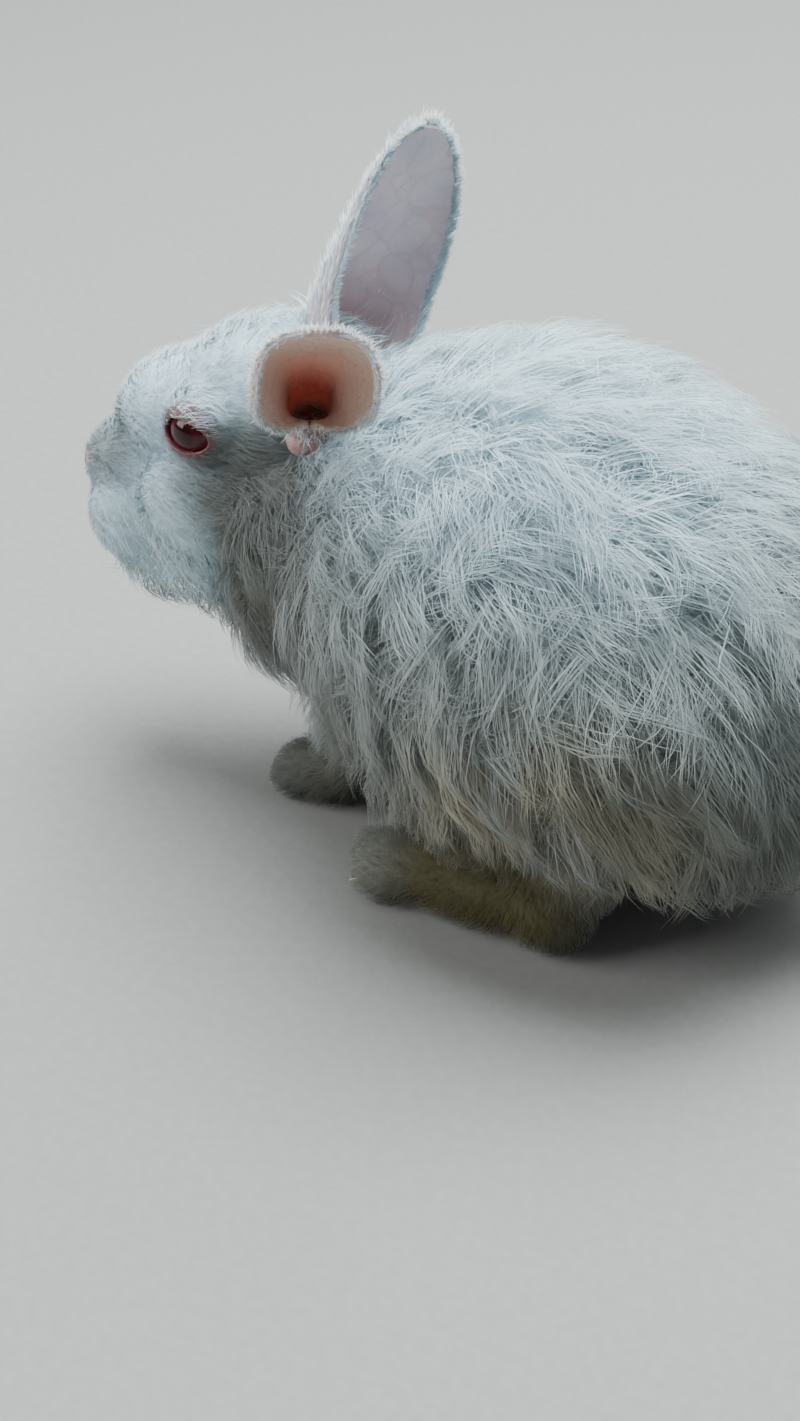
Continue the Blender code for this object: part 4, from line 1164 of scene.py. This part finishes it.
def lid_material():
    """The bare pink edges of the lids, nostrils and lips."""
    nodes = Nodes("lid_edge")
    colour = nodes.blend((0.42, 0.14, 0.15), (0.30, 0.09, 0.10), nodes.noise(500, 3))
    nodes.bump(nodes.noise(1500, 3, 0.2, 0.8), 0.3, 0.0002)
    return nodes.finish(colour, Roughness=0.35, Specular_IOR_Level=0.5)


def eye_material(side):
    """Ruby eye: a darker pupil in a wine red iris, pinker towards the lids."""
    nodes = Nodes(f"eye_{side}")
    look, _ = eye_turn(side)
    front = shared((HEAD_FRAME @ (eye_centre(side) + look * EYE_RADIUS)) / MM)
    colour = nodes.blend((0.13, 0.015, 0.022), (0.07, 0.005, 0.009), nodes.near(front, 5.4, 7.4))
    colour = nodes.mark(colour, (0.02, 0.001, 0.003), front, 2.4, 4.2)
    return nodes.finish(
        colour, Roughness=0.12, Specular_IOR_Level=0.2, Coat_Weight=0.25, Coat_Roughness=0.05,
    )


def plain_material(name, colour, roughness, variation):
    nodes = Nodes(name)
    darker = tuple(c * (1 - variation) for c in colour)
    return nodes.finish(nodes.blend(darker, colour, nodes.noise(300)), Roughness=roughness)


# Stage, light and camera


def build_stage():
    corners = [[(x, y, 0) for x in (-3, 3)] for y in (-3, 3)]
    floor = link(bpy.data.objects.new("floor", grid_mesh("floor", corners)))
    floor.data.materials.append(plain_material("floor", (0.36, 0.355, 0.34), 0.85, 0.05))


def add_area(name, place, target, size, power, colour):
    lamp = bpy.data.lights.new(name, "AREA")
    lamp.size = size
    lamp.energy = power
    lamp.color = colour
    obj = link(bpy.data.objects.new(name, lamp))
    obj.location = place
    obj.rotation_euler = (Vector(target) - Vector(place)).to_track_quat("-Z", "Y").to_euler()


def build_lights():
    add_area("key", (0.0, 0.4, 1.55), (0, 0, 0.06), 1.2, 68, (0.90, 0.985, 1.0))
    add_area("fill", (-1.1, -0.9, 0.7), (-0.08, 0, 0.08), 0.9, 19, (0.96, 0.99, 1.0))
    add_area("back", (0.3, 1.1, 1.0), (0, 0, 0.08), 0.9, 6, (0.93, 0.98, 1.0))
    world = bpy.data.worlds.new("studio")
    bpy.context.scene.world = world
    world.use_nodes = True
    world.node_tree.nodes["Background"].inputs["Color"].default_value = (0.85, 0.92, 0.95, 1)
    world.node_tree.nodes["Background"].inputs["Strength"].default_value = 0.18


CAMERA_PLACE = Vector((226.8, -410.5, 366.0)) * MM
FOCAL_PIXELS = 1990
PHOTO_HEIGHT = 1421
SENSOR = 36


def build_camera():
    """The photo's view: 30 degrees round from the rabbit's side, 36 degrees down."""
    turn, tilt = math.radians(30), math.radians(36)
    right = Vector((math.cos(turn), math.sin(turn), 0))
    back = Vector((math.sin(turn) * math.cos(tilt), -math.cos(turn) * math.cos(tilt), math.sin(tilt)))
    camera = bpy.data.cameras.new("camera")
    camera.sensor_fit = "VERTICAL"
    camera.sensor_height = SENSOR
    camera.lens = SENSOR * FOCAL_PIXELS / PHOTO_HEIGHT
    obj = link(bpy.data.objects.new("camera", camera))
    place = Matrix((right, back.cross(right), back)).transposed().to_4x4()
    place.translation = CAMERA_PLACE - FOOTPRINT_CENTRE
    obj.matrix_world = place
    bpy.context.scene.camera = obj


# The whole rabbit


FLESH = (
    "head", "neck", "torso", "tail", "ear_left", "ear_right",
    "fore_leg_left", "fore_leg_right", "hind_leg_left", "hind_leg_right",
)


def dress(obj, material):
    obj.data.materials.clear()
    obj.data.materials.append(material)
    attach(obj, "root")


def dress_skin(skin):
    for slot, look in enumerate((skin_material(), ear_material(), lid_material())):
        skin.data.materials[slot] = look
    skin.data.shade_smooth()
    to_frame(skin)
    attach(skin, "root")
    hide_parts(*FLESH)


def dress_coats(coats, ear_coats):
    long_wool = coat_material("wool", 0.9, 0.75)
    short_fur = coat_material("short_fur", 0.85, 0.6)
    ear_fur = coat_material("ear_fur", 0.85, 0.3, 0.7, False)
    for coat in coats:
        fine = "face" in coat.name or "feet" in coat.name
        dress(to_frame(coat), short_fur if fine else long_wool)
    for coat in ear_coats:
        dress(to_frame(coat), ear_fur)


def main():
    remove_scene_defaults()
    build_camera()
    build_lights()
    build_stage()

    skin = build_skin()
    coats = grow_coat(skin)
    ear_coats = [ear_coat(side) for side in SIDES]
    slotted(skin, 0)
    finish_skin(skin)
    dress_skin(skin)
    dress_coats(coats, ear_coats)
    for side in SIDES:
        eye = to_frame(build_eye(side))
        dress(eye, eye_material(side))
        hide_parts(f"eye_{side}")
    dress(to_frame(build_claws()), plain_material("claw", (0.55, 0.47, 0.38), 0.35, 0.3))
    whisker = plain_material("whisker", (0.5, 0.53, 0.54), 0.4, 0.05)
    dress(to_frame(build_whiskers()), whisker)


main()
